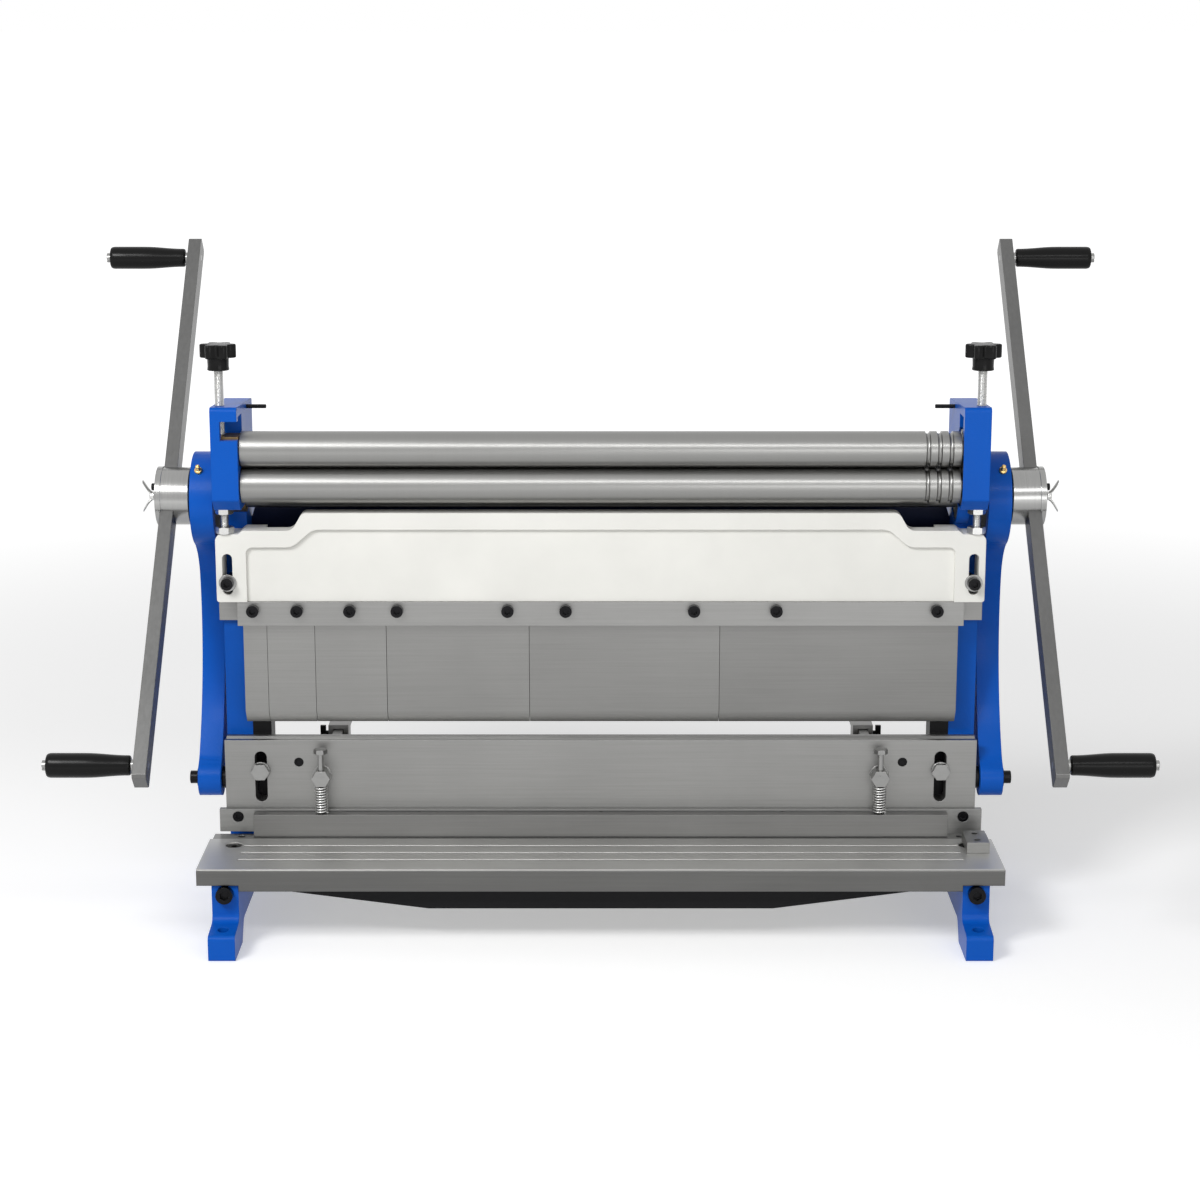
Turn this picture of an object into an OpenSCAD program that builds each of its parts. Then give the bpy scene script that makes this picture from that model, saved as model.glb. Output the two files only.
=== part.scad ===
// Combined shear, press brake and slip roll for the bench, 762 mm wide class.
// X runs across the machine, -Y is the operator's side and Z is up.
// The origin is the centre of the four foot bolts, on the floor plane.

/* [Side frames] */
// Clear width between the two side frames
span = 753; // [740:1:800]
// Thickness of each side frame casting
frame_t = 28; // [24:1:32]
// Height of the side frames
frame_h = 556; // [552:1:580]
// Distance between front and rear foot bolts
foot_pitch = 328; // [320:2:360]
// Length of each foot pad
foot_l = 58; // [50:1:64]
// Thickness of each foot pad
foot_h = 26.5; // [22:0.5:30]
// Foot bolt hole
foot_hole_d = 12; // [9:1:14]
// Depth of the roll housings, front to back
housing_d = 123; // [116:1:140]
// Height of the roll housings
housing_h = 98; // [94:1:104]
// Depth of the recess in the outer face of each column
web_recess = 8; // [3:1:12]

/* [Rolls] */
// Diameter of the three rolls
roll_d = 38; // [36:0.5:38]
// Gap between the two front rolls at rest
roll_gap = 0.2; // [0.2:0.1:1]
// Drop of the lower roll's axis below the top of the housings
roll_drop = 85.6; // [83:0.2:90]
// Distance of the front rolls behind the housing's front face
roll_setback = 24; // [24:0.5:27]
// Distance from the front rolls back to the rear roll
rear_roll_back = 50; // [48:1:54]
// Height of the rear roll above the lower roll
rear_roll_up = 17.6; // [17:0.2:20]
// Journal diameter of the rolls
journal_d = 18; // [14:0.5:18]
// End clearance between a roll and each side frame
roll_end_gap = 1; // [0.5:0.5:2]
// Wire forming grooves, distance from the roll's right end to the first one
groove_first = 10.5; // [8:0.5:16]
// Distance between the wire forming grooves
groove_pitch = 12; // [10:0.5:14]
// Radius of the wire forming grooves
groove_r = 2.4; // [1.5:0.1:3]

/* [Gears] */
// Teeth on each roll gear
roll_teeth = 15; // [15:1:15]
// Teeth on the drive gear
drive_teeth = 18; // [17:1:18]
// Width of the gears
gear_w = 11; // [8:0.5:12]
// Drop of the drive shaft below the lower roll
shaft_under = 18.4; // [17:0.2:20]

/* [Drive] */
// Diameter of the drive shaft
shaft_d = 24; // [20:1:26]
// Throw of the eccentrics
throw = 20; // [16:0.5:20]
// Angle of the eccentric at rest, below the horizontal
throw_angle = 17; // [15:1:19]
// Diameter of the eccentric discs
eccentric_d = 76; // [74:1:78]
// Width of the eccentrics and of the connecting arms
arm_t = 24.5; // [20:0.5:26]
// Outer diameter of the arm's upper ring
ring_d = 100; // [96:1:106]
// Width of the arm between its ring and its eye
strap_w = 34; // [28:1:38]
// How far the arm bows back behind the straight line
strap_bow = 46; // [36:1:50]
// Outer radius of the arm's lower eye
eye_r = 20; // [18:0.5:22]
// Diameter of the pin in the arm's lower eye
arm_pin_d = 14; // [10:1:16]
// Clearance round the pin in the arm's lower eye
eye_play = 2.2; // [2:0.1:2.6]
// Gap from a side frame to the arm beside it
arm_gap = 4.5; // [4:0.5:6]
// Diameter of the crank hubs
hub_d = 63; // [52:1:64]
// Length of the crank hubs
hub_l = 35; // [33:1:38]
// Depth of the crank bars, across their length
bar_w = 25; // [20:1:28]
// Thickness of the crank bars
bar_t = 14; // [12:0.5:14]
// Half length of the crank bars
bar_reach = 346; // [330:2:360]
// Distance of the grips from the ends of the crank bars
grip_in = 20; // [15:1:40]
// Lean of the crank bars at rest, back from the upright
bar_lean = 45; // [40:1:50]
// Length of the hand grips
grip_l = 84; // [70:1:100]
// Largest diameter of the hand grips
grip_d = 25; // [22:0.5:28]

/* [Moving beam] */
// Thickness of the moving beam
beam_t = 24; // [22:1:26]
// Top of the moving beam
beam_top = 190.5; // [186:0.5:192]
// Bottom of the moving beam
beam_bottom = 100; // [97:0.5:104]
// Width of the bending groove along the top
vee_w = 12; // [8:1:14]
// Thickness of the upper shear blade
blade_t = 7.7; // [6:0.1:9]
// Height of the upper shear blade
blade_h = 25; // [20:0.5:26]
// Opening between the shear blades at the left end
blade_open = 2.5; // [2:0.1:3]
// Rake of the upper blade over its length
blade_rake = 3.2; // [2:0.1:4]
// Distance of the guide bolts from the side frames
guide_bolt_in = 10.5; // [9.5:0.5:14]
// Height of the arm pins
arm_pin_z = 146; // [140:1:150]

/* [Table] */
// Height of the table's top
table_top = 88; // [84:1:88]
// How far the table stands out past each side frame
table_over = 15; // [10:1:20]
// Depth of the table in front of the lower blade
table_d = 103; // [96:1:106]
// Thickness of the table over the side frames
table_t = 18; // [14:0.5:20]
// Width of the lower shear blade, front to back
lower_blade_w = 18; // [14:0.5:22]
// Gap between the shear blades
shear_gap = 0.3; // [0.3:0.1:0.5]

/* [Upper beam and fingers] */
// How far the upper beam casting stands out past each side frame
cream_over = 1.5; // [0:0.5:3]
// Height of the upper beam casting
cream_h = 96; // [90:0.5:98]
// Gap between the top of the upper beam casting and the underside of the housings
cream_gap = 17; // [14:0.5:20]
// Height of the upper beam's end lugs
lug_h = 73; // [68:0.5:76]
// Depth of the sunken front panel
panel_sink = 4; // [2:0.5:8]
// Thickness of the fingers
finger_t = 16; // [12:0.5:16]
// Height of the finger tips
finger_tip = 208.7; // [208:0.5:212]
// Height of the clamp bar
clamp_h = 26; // [22:0.5:28]
// Thickness of the clamp bar
clamp_t = 11; // [8:0.5:12]

/* [Back gauge and hold-down] */
// Length of the back gauge's support bars
gauge_bar_l = 220; // [180:5:260]
// Distance of each support bar from the side frame
gauge_bar_in = 89.5; // [80:0.5:110]
// Gap between the hold-down bar and the table
hold_gap = 0.5; // [0.4:0.1:1]
// Height of the hold-down bar
hold_h = 24.5; // [20:0.5:26]
// Thickness of the hold-down bar
hold_t = 11; // [8:0.5:12]
// Distance of the hold-down springs from the side frames
spring_in = 76.5; // [60:0.5:100]
// Turns in each hold-down spring
spring_turns = 8; // [6:1:9]
// Wire of the hold-down springs
spring_wire = 1.6; // [1.2:0.1:1.8]
// Coil diameter of the hold-down springs, at the middle of the wire
spring_d = 10; // [9.5:0.5:12]

/* [Hidden] */
$fn = 48;

// Fits and running clearances
running = 0.05;
seat = 0.3;
slip = 0.5;
over = 1;

// Paint and metal colours
blue = [0.07, 0.37, 0.78];
navy = [0.05, 0.08, 0.2];
cream = [0.93, 0.93, 0.89];
steel = [0.66, 0.67, 0.68];
bright = [0.8, 0.81, 0.82];
black = [0.07, 0.07, 0.08];
bronze = [0.72, 0.55, 0.3];

// Places that follow from the sizes above
inner_x = span / 2;
outer_x = inner_x + frame_t;
mid_frame_x = inner_x + frame_t / 2;
shear_y = -26;
beam_front = shear_y + shear_gap + blade_t;
beam_rear = beam_front + beam_t;
column_y = beam_rear + seat;
beam_mid = (beam_front + beam_rear) / 2;
beam_x = outer_x;
housing_front = -50;
housing_rear = housing_front + housing_d;
housing_bottom = frame_h - housing_h;
housing_bevel = 12;
ledge_z = table_top - table_t;
table_w = 2 * (outer_x + table_over);
foot_y = foot_pitch / 2;
foot_overhang = 17;
foot_rise = 10;
arch_h = 22;
leg_front_y = shear_y - lower_blade_w - table_d + 4;
leg_screw_d = 12;
leg_screw_l = 30;
leg_screw_head_d = 18;
leg_screw_z = ledge_z - leg_screw_head_d / 2 - 0.5;
table_screw_l = 24;
table_screw_y = shear_y - lower_blade_w - 22;
tie_d = 18;
tie_seat = 15;
tie_rod_places = [[118, 46], [column_y + 56, 230]];
beam_bolt_seat = 22;

roll_y = housing_front + roll_setback;
lower_roll_z = frame_h - roll_drop;
shaft_z = lower_roll_z - shaft_under;
roll_pitch = roll_d + roll_gap;
upper_roll_z = lower_roll_z + roll_pitch;
roll_x = inner_x - roll_end_gap;
rear_roll_y = roll_y + rear_roll_back;
rear_roll_z = lower_roll_z + rear_roll_up;

// Gears: their module follows from the spacing of the rolls
gear_m = roll_pitch / roll_teeth;
gear_angle = 25;
gear_backlash = 0.35;
gear_gap = 1;
gear_x = inner_x + gear_gap;
pocket_x = gear_w + 2 * gear_gap;
drive_centres = gear_m * (roll_teeth + drive_teeth) / 2;
shaft_drop = -shaft_under;
shaft_y = roll_y + sqrt(drive_centres * drive_centres - shaft_drop * shaft_drop);
addendum = 0.9 * gear_m;
dedendum = 1.2 * gear_m;
lower_phase = 90;
upper_phase = mate_phase(roll_teeth, lower_phase, roll_teeth, 90);
drive_dir = atan2(shaft_drop, shaft_y - roll_y);
drive_phase = mate_phase(roll_teeth, lower_phase, drive_teeth, drive_dir);
pocket_play = 1.3;
roll_tip_r = gear_m * roll_teeth / 2 + addendum;
drive_tip_r = gear_m * drive_teeth / 2 + addendum;

// Bearing blocks of the upper and rear rolls, and their screws
block_w = 28;
block_h = 30;
block_play = 0.3;
block_face = 0.4;
upper_lift = 3;
rear_travel = 6;
slot_top = frame_h - 11;
screw_d = 10;
screw_nose_d = 7;
screw_nose_l = 4;
knob_r = 19.3;
knob_lobes = 6;
knob_lobe_r = 5.2;
knob_h = 15;
knob_neck_d = 22;
knob_neck_l = 13;
knob_rise = 36;
adjust_x = inner_x + pocket_x + (frame_t - pocket_x) / 2;
rear_knob_rise = 12;
bush_wall = 4;
shaft_bush_wall = 5;

// Drive line outside the frames
arm_x = outer_x + arm_gap;
ring_y = shaft_y + throw * cos(throw_angle);
ring_z = shaft_z - throw * sin(throw_angle);
hub_x = arm_x + arm_t + 1.5;
bar_x = hub_x + 16;
bar_fit = 0.15;
grip_reach = bar_reach - grip_in;
hub_disc_t = 6;
hub_end = hub_x + hub_l;
eye_shift = 0.74;
eye_y = beam_mid + eye_shift;
eye_z = arm_pin_z;
grip_bore = 8;
grip_gap = 4;
grip_x = bar_x + bar_t + grip_gap;
grip_slim = 10.2;
grip_slot_turn = 20;
grip_head_h = 4;
grip_head_d = 10.5;

// Upper beam
cream_x = outer_x + cream_over;
cream_top = housing_bottom - cream_gap;
cream_bottom = cream_top - cream_h;
lug_top = cream_bottom + lug_h;
panel_side = 32;
lug_l = 81;
cream_front = -28;
cream_web = 20;
lug_step = 4;
clamp_z = cream_bottom - clamp_h;
finger_front = -16;
finger_rear = finger_front + finger_t;
finger_top = cream_bottom - 2;
finger_play = 0.3;
finger_all = span + 9;
finger_unit = finger_all / 30;
finger_w = finger_unit * [1, 2, 3, 6, 8, 10];
finger_screws = finger_unit * [[0.5], [1.34], [1.54], [0.51, 5.12], [1.54, 6.89], [2.32, 9.02]];
m8_head_d = 13;
m8_head_h = 8;
m8_d = 8;
beam_bolt_x = outer_x - 10.5;
beam_bolt_z = cream_bottom + 21;
beam_slot_w = 10.6;
beam_slot_low = cream_bottom + 8;
beam_slot_high = cream_bottom + 52;
jack_x = outer_x - 8.5;
jack_y = -22;
jack_nut_af = 17;
jack_nut_h = 8;
jack_seat = 18;

// Moving beam
slot_w = 13;
slot_low = 122;
slot_high = 178;
guide_bolt_z = 157;
guide_w = 20;
guide_d = 32;
guide_low = 75;
guide_high = clamp_z - slip;
guide_bolt_x = inner_x - guide_bolt_in;
guide_screw_z = [guide_low + 25, guide_high - 30];
guide_screw_l = 14;
blade_x = outer_x + 6.5;
blade_screw_x = (outer_x - 13.5) * [-1, -0.5, 0, 0.5, 1];
blade_screw_z = 107;
stud_z = 150;
stud_af = 19;
stud_l = 20.5;
hold_bottom = table_top + hold_gap;
hold_rear = shear_y - 1;
hold_mid = hold_rear - hold_t / 2;
hold_x = inner_x - 3.5;
spring_x = inner_x - spring_in;
gauge_bar_x = inner_x - gauge_bar_in;
hold_bolt_d = 6;
hold_bolt_top = 185;
gauge_low = table_top + 5.8;
gauge_stud_x = gauge_bar_x + 38;
gauge_stud_z = 166;
gauge_bar_t = 10;
gauge_bar_h = 20;
gauge_bar_z = 168;
gauge_y = beam_rear + 28;
gauge_x = gauge_bar_x + 43;

function unit(v) = v / norm(v);
function flat2(p) = [p[0], p[1]];

// Arc that rounds corner p between its neighbours a and b with radius r
function corner(a, p, b, r) =
    r == 0 ? [p] :
    let (u = unit(a - p), v = unit(b - p), half = acos(u * v) / 2,
        c = p + unit(u + v) * r / sin(half), reach = r / tan(half),
        s = p + u * reach - c, e = p + v * reach - c)
    [for (i = [0:6]) c + unit(s * (6 - i) + e * i) * r];

// Outline from points that each carry their own corner radius
function rounded(pts) =
    [for (i = [0:len(pts) - 1])
        each corner(flat2(pts[(i + len(pts) - 1) % len(pts)]), flat2(pts[i]),
            flat2(pts[(i + 1) % len(pts)]), pts[i][2])];

// The same outline with its other half, mirrored about the middle
function both_sides(pts) =
    concat(pts, [for (i = [len(pts) - 1:-1:0]) [-pts[i][0], pts[i][1], pts[i][2]]]);

function involute(a) = tan(a) * 180 / PI - a;
function flank(teeth, r) =
    let (pitch_r = gear_m * teeth / 2, base_r = pitch_r * cos(gear_angle))
    (90 - gear_backlash / gear_m * 90 / PI) / teeth + involute(gear_angle)
        - involute(acos(min(1, base_r / r)));
function polar(r, a) = [r * cos(a), r * sin(a)];

// Spur gear outline with involute flanks and one tooth centred on phase
function gear_outline(teeth, phase) =
    let (pitch_r = gear_m * teeth / 2, base_r = pitch_r * cos(gear_angle),
        tip_r = pitch_r + addendum, root_r = pitch_r - dedendum,
        radii = [for (i = [0:4]) base_r + (tip_r - base_r) * i / 4],
        root_half = flank(teeth, base_r) + 0.4)
    [for (t = [0:teeth - 1]) let (mid = phase + t * 360 / teeth)
        each concat([polar(root_r, mid - root_half)],
            [for (r = radii) polar(r, mid - flank(teeth, r))],
            [for (i = [4:-1:0]) polar(radii[i], mid + flank(teeth, radii[i]))],
            [polar(root_r, mid + root_half)])];

// Angle of a tooth on the second gear, seen from gear one in direction dir
function mate_phase(teeth1, phase1, teeth2, dir) =
    dir + 180 + 180 / teeth2 + (dir - phase1) * teeth1 / teeth2;

module plate_x(x, t) {
    translate([x, 0, 0]) rotate([90, 0, 90]) linear_extrude(t) children();
}

module plate_y(y, t) {
    translate([0, y + t, 0]) rotate([90, 0, 0]) linear_extrude(t) children();
}

module rod_x(x, l, d, y, z) {
    translate([x, y, z]) rotate([0, 90, 0]) cylinder(h = l, d = d);
}

module rod_y(y, l, d, x, z) {
    translate([x, y, z]) rotate([-90, 0, 0]) cylinder(h = l, d = d);
}

module rod_z(z, l, d, x, y) {
    translate([x, y, z]) cylinder(h = l, d = d);
}

module block(x, y, z) {
    translate([x[0], y[0], z[0]]) cube([x[1] - x[0], y[1] - y[0], z[1] - z[0]]);
}

module both() {
    children();
    mirror([1, 0, 0]) children();
}

// Side frames: foot, leg, table ledge, column and roll housing in one casting
module frame_outline() {
    foot_end = foot_y + foot_overhang;
    foot_heel = foot_end - foot_l;
    polygon(rounded([[-foot_end, 0, 2], [-foot_heel, 0, 3],
        [-foot_heel + 14, arch_h, 12], [foot_heel - 14, arch_h, 12],
        [foot_heel, 0, 3], [foot_end, 0, 2], [foot_end, foot_h, 5],
        [foot_y - 16, foot_h + 3, 10], [housing_rear + 42, foot_h + 80, 60],
        [housing_rear + 8, foot_h + 215, 120], [housing_rear, housing_bottom - 60, 60],
        [housing_rear, frame_h, 5], [housing_front, frame_h, 5],
        [housing_front, housing_bottom, 4],
        [housing_front + housing_bevel, housing_bottom - housing_bevel, 4],
        [column_y, housing_bottom - housing_bevel, 6], [column_y, ledge_z, 4],
        [leg_front_y, ledge_z, 2], [leg_front_y, foot_h + 4, 9], [-foot_end, foot_h, 5]]));
}

// Recess that leaves a rim round the outer face of the column and its foot
module web_outline() {
    rim = 15;
    polygon(rounded([[column_y + rim, ledge_z + 30, 10], [housing_rear + 14, ledge_z + 30, 12],
        [housing_rear - 8, foot_h + 205, 60], [housing_rear - rim, housing_bottom - 90, 12],
        [column_y + rim, housing_bottom - 90, 12]]));
}

module block_slot(y, z) {
    translate([y[0], z[0]]) square([y[1] - y[0], z[1] - z[0]]);
}

module side_frame() {
    half_w = block_w / 2 + block_play;
    difference() {
        plate_x(inner_x, frame_t) frame_outline();
        plate_x(outer_x - web_recess, web_recess + over) web_outline();
        plate_x(inner_x - over, frame_t + 2 * over) {
            block_slot([roll_y - half_w, roll_y + half_w],
                [upper_roll_z - block_h / 2 - block_play, slot_top]);
            block_slot([rear_roll_y - rear_travel - half_w, rear_roll_y + half_w],
                [rear_roll_z - block_w / 2 - block_play, rear_roll_z + block_w / 2 + block_play]);
        }
        rod_x(inner_x - over, frame_t + 2 * over, journal_d + 2 * bush_wall, roll_y, lower_roll_z);
        rod_x(inner_x - over, frame_t + 2 * over, shaft_d + 2 * shaft_bush_wall, shaft_y, shaft_z);
        rod_z(slot_top - over, frame_h - slot_top + 2 * over, screw_d + 2 * running, adjust_x, roll_y);
        rod_y(rear_roll_y, housing_rear, screw_d + 2 * running, adjust_x, rear_roll_z);
        for (y = [-foot_y, foot_y])
            rod_z(-over, foot_h + foot_rise + over, foot_hole_d, mid_frame_x, y);
        for (p = tie_rod_places)
            rod_x(inner_x - over, tie_seat + over, tie_d, p[0], p[1]);
        rod_y(column_y - over, beam_bolt_seat + over, m8_d, beam_bolt_x, beam_bolt_z);
        rod_y(leg_front_y - over, leg_screw_l, leg_screw_d, mid_frame_x, leg_screw_z);
        rod_z(ledge_z - table_screw_l, table_screw_l + over, m8_d, mid_frame_x, table_screw_y);
        for (z = guide_screw_z)
            rod_x(inner_x - over, guide_screw_l + over, m8_d, column_y + guide_d / 2, z);
    }
}

// Notch in the left housing, through which the upper roll's block is freed
module release_notch() {
    block([inner_x - over, outer_x - 10],
        [housing_front - over, roll_y - block_w / 2],
        [frame_h - 35, frame_h - 15]);
}

module left_side_frame() {
    color(blue) mirror([1, 0, 0]) difference() {
        side_frame();
        release_notch();
    }
}

// The right frame has a pocket in its inner face for the gear train, with
// a lip below the housing that wraps round the drive gear
module right_side_frame() {
    roll_r = roll_tip_r + pocket_play;
    color(blue) difference() {
        union() {
            side_frame();
            plate_x(inner_x, pocket_x) intersection() {
                translate([shaft_y, shaft_z]) circle(r = drive_tip_r + pocket_play + 3);
                translate([shaft_y, housing_bottom - housing_bevel - 30])
                    square([80, 60], center = true);
            }
        }
        plate_x(inner_x - over, pocket_x + over) {
            translate([roll_y, lower_roll_z]) circle(r = roll_r);
            translate([roll_y, upper_roll_z + upper_lift]) circle(r = roll_r);
            block_slot([roll_y - roll_r, roll_y + roll_r],
                [lower_roll_z, upper_roll_z + upper_lift]);
            translate([shaft_y, shaft_z]) circle(r = drive_tip_r + pocket_play);
        }
    }
}

// Table with a thicker body between the frames and three sizing grooves
module table() {
    rear = shear_y - lower_blade_w;
    front = rear - table_d;
    groove_w = 3;
    groove_deep = 1.5;
    color(steel) difference() {
        union() {
            plate_x(-table_w / 2, table_w)
                polygon(rounded([[front, ledge_z, 1], [rear, ledge_z, 0],
                    [rear, table_top, 0], [front, table_top, 2.5]]));
            block([-inner_x + slip, inner_x - slip], [front, rear], [ledge_z - 6, ledge_z + over]);
        }
        for (i = [1:3])
            translate([-inner_x - 4, rear - i * table_d / 4.4 - groove_w / 2, table_top - groove_deep])
                cube([span + 8, groove_w, groove_deep + over]);
        both() {
            rod_z(ledge_z - over, table_t + 2 * over, m8_d + 1, mid_frame_x, table_screw_y);
            rod_z(table_top - m8_head_h - 1, m8_head_h + 2, m8_head_d + 5, mid_frame_x, table_screw_y);
        }
    }
}

// Stiffening rib under the table, with its ends cut back at a slant
module table_stiffener() {
    top = ledge_z - 6;
    rib_h = 25;
    color(black) plate_y(leg_front_y + 14, 12)
        polygon(rounded(both_sides([[inner_x / 2 - 8, top - rib_h, 3], [inner_x - 3, top, 0]])));
}

module lower_blade() {
    color(bright) difference() {
        block([-table_w / 2 + 3, table_w / 2 - 3], [shear_y - lower_blade_w, shear_y],
            [ledge_z, table_top]);
        both() rod_z(ledge_z - over, table_t + 2 * over, m8_d, mid_frame_x - 4, shear_y - lower_blade_w / 2);
    }
}

module cap_screw_z(x, y, z, l) {
    difference() {
        union() {
            rod_z(z, m8_head_h, m8_head_d, x, y);
            rod_z(z - l, l + over, m8_d - 2 * running, x, y);
        }
        translate([x, y, z + m8_head_h / 2]) cylinder(h = m8_head_h, d = 7, $fn = 6);
    }
}

module cap_screw_y(x, y, z, l, d, head_d, head_h) {
    difference() {
        union() {
            rod_y(y - head_h, head_h, head_d, x, z);
            rod_y(y - over, l + over, d - 2 * running, x, z);
        }
        translate([x, y - head_h - over, z]) rotate([-90, 30, 0])
            cylinder(h = head_h / 2 + over, d = head_d * 0.55, $fn = 6);
    }
}

// Screws through the table into the legs, and the large ones in the legs' fronts
module table_screws() {
    head = table_top - m8_head_h - 1;
    color(black) both() {
        cap_screw_z(mid_frame_x, table_screw_y, head, head - ledge_z + table_screw_l - 2);
        cap_screw_y(mid_frame_x, leg_front_y, leg_screw_z, leg_screw_l - 3, leg_screw_d,
            leg_screw_head_d, 9);
    }
}

// Squaring block on the right of the table, with its two screws
module side_guide_block() {
    rear = shear_y - lower_blade_w - 8;
    color(bright) difference() {
        block([outer_x - 18, outer_x + 6], [rear - 42, rear], [table_top, table_top + 12]);
        for (i = [0, 1])
            rod_z(table_top - over, 14, 7, outer_x - 6, rear - 10 - i * 22);
    }
}

// Upper beam: stepped casting with a raised rim round a sunken panel
module cream_outline() {
    polygon(rounded(both_sides([[cream_x, cream_bottom, 3], [cream_x, lug_top, 7],
        [cream_x - 24, lug_top, 3], [cream_x - 29, lug_top + lug_step, 3],
        [cream_x - lug_l, lug_top + lug_step, 11], [cream_x - lug_l - 11, cream_top, 8]])));
}

module panel_outline() {
    side = cream_x - panel_side;
    polygon(rounded(both_sides([[side, cream_bottom - over, 0], [side, lug_top - 14, 7],
        [cream_x - lug_l, lug_top - 14, 18], [cream_x - lug_l - 22, cream_top - 18, 16]])));
}

module upper_beam() {
    color(cream) difference() {
        union() {
            plate_y(cream_front, cream_web) cream_outline();
            plate_y(cream_front, column_y - cream_front) intersection() {
                cream_outline();
                union() for (s = [-1, 1])
                    translate([s * (cream_x + inner_x - 22) / 2, cream_bottom + 50])
                        square([cream_x - inner_x + 22, 200], center = true);
            }
        }
        plate_y(cream_front - over, panel_sink + over) panel_outline();
        plate_y(cream_front - over, 60) both_slots();
        both() rod_z(lug_top - jack_seat, jack_seat + over, screw_d - 1, jack_x, jack_y);
    }
}

module both_slots() {
    for (s = [-1, 1]) translate([s * beam_bolt_x, 0]) {
        translate([-beam_slot_w / 2, beam_slot_low + beam_slot_w / 2])
            square([beam_slot_w, beam_slot_high - beam_slot_low - beam_slot_w]);
        for (z = [beam_slot_low + beam_slot_w / 2, beam_slot_high - beam_slot_w / 2])
            translate([0, z]) circle(d = beam_slot_w);
    }
}

module beam_bolts() {
    washer_t = 2;
    color(black) both() {
        cap_screw_y(beam_bolt_x, cream_front - washer_t, beam_bolt_z,
            column_y - cream_front + beam_bolt_seat, m8_d, m8_head_d, m8_head_h);
        rod_y(cream_front - washer_t, washer_t, 18, beam_bolt_x, beam_bolt_z);
    }
}

// Levelling bolts between the upper beam's lugs and the housings
module jack_bolts() {
    head = housing_bottom - housing_bevel;
    color(bright) both() {
        translate([jack_x, jack_y, head - 7]) cylinder(h = 7, d = jack_nut_af / cos(30), $fn = 6);
        translate([jack_x, jack_y, lug_top]) cylinder(h = jack_nut_h, d = jack_nut_af / cos(30), $fn = 6);
        rod_z(lug_top - jack_seat + over, head - lug_top + jack_seat - 2, screw_d - 1, jack_x, jack_y);
    }
}

function finger_start(i) = i == 0 ? -finger_all / 2 : finger_start(i - 1) + finger_w[i - 1];

module finger_bores(y, l, d) {
    for (i = [0:5]) for (s = finger_screws[i])
        rod_y(y, l, d, finger_start(i) + s, clamp_z + clamp_h / 2 + 4);
}

// Rear jaw that backs the fingers and rises behind the upper beam's web
module back_ledge_bar() {
    color(steel) difference() {
        union() {
            block([-cream_x - 2, cream_x + 2], [finger_rear, column_y], [clamp_z, cream_bottom]);
            block([-inner_x + 3, inner_x - 3], [finger_rear, finger_rear + 18], [clamp_z, cream_bottom]);
            block([-inner_x + 24, inner_x - 24], [cream_front + cream_web, finger_rear + 18],
                [cream_bottom, cream_bottom + 32]);
        }
        finger_bores(finger_rear - over, 16, m8_d);
    }
}

module clamp_bar() {
    color(steel) difference() {
        block([-finger_all / 2 - 4, finger_all / 2 + 4], [finger_front - clamp_t, finger_front],
            [clamp_z, cream_bottom]);
        finger_bores(finger_front - clamp_t - over, clamp_t + 2 * over, m8_d + 1);
    }
}

module clamp_screws() {
    color(black) for (i = [0:5]) for (s = finger_screws[i])
        cap_screw_y(finger_start(i) + s, finger_front - clamp_t, clamp_z + clamp_h / 2 + 4,
            clamp_t + finger_t + 12, m8_d, m8_head_d, m8_head_h);
}

// One bending finger, ground to a nose at its lower edge
module finger(i) {
    nose = finger_front + 10;
    color(steel) difference() {
        plate_x(finger_start(i) + finger_play / 2, finger_w[i] - finger_play)
            polygon([[finger_front, finger_top], [finger_front, finger_tip + 14],
                [nose - 1, finger_tip], [nose + 1, finger_tip],
                [finger_rear, finger_tip + 9], [finger_rear, finger_top]]);
        finger_bores(finger_front - over, finger_t + 2 * over, m8_d + 1);
    }
}

// Panel between the housings, its upper corners cut back at a slant
module cross_panel() {
    color(navy) plate_y(column_y + 38, 6)
        polygon([[-inner_x + 8, housing_bottom - 12], [-inner_x, housing_bottom - 36],
            [-inner_x, cream_bottom - 10], [inner_x, cream_bottom - 10],
            [inner_x, housing_bottom - 36], [inner_x - 8, housing_bottom - 12]]);
}

module tie_rods() {
    color(bright) for (p = tie_rod_places)
        rod_x(-inner_x - tie_seat, span + 2 * tie_seat, tie_d, p[0], p[1]);
}

// Guides that the moving beam's bolts run on, screwed to the columns
module beam_guides() {
    color(black) both() difference() {
        block([inner_x - guide_w, inner_x], [column_y, column_y + guide_d], [guide_low, guide_high]);
        rod_y(column_y - over, 26, screw_d, guide_bolt_x, guide_bolt_z);
        for (z = guide_screw_z)
            rod_x(inner_x - guide_w - over, guide_w + 2 * over, m8_d, column_y + guide_d / 2, z);
    }
    color(black) both() for (z = guide_screw_z)
        rod_x(inner_x - guide_w, guide_w + guide_screw_l - 1, m8_d - 2 * running, column_y + guide_d / 2, z);
}

module guide_bolts() {
    washer_t = 3;
    head_h = 7;
    front = beam_front - seat;
    color(bright) both() {
        rod_y(front - washer_t, washer_t, 20, guide_bolt_x, guide_bolt_z);
        translate([guide_bolt_x, front - washer_t - head_h, guide_bolt_z]) rotate([-90, 0, 0])
            cylinder(h = head_h, d = 17 / cos(30), $fn = 6);
        rod_y(front - over, column_y - front + 24, screw_d - 2 * running, guide_bolt_x, guide_bolt_z);
    }
}

module bush(x, l, bore, wall, y, z) {
    difference() {
        rod_x(x, l, bore + 2 * wall, y, z);
        rod_x(x - over, l + 2 * over, bore + 2 * running, y, z);
    }
}

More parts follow.
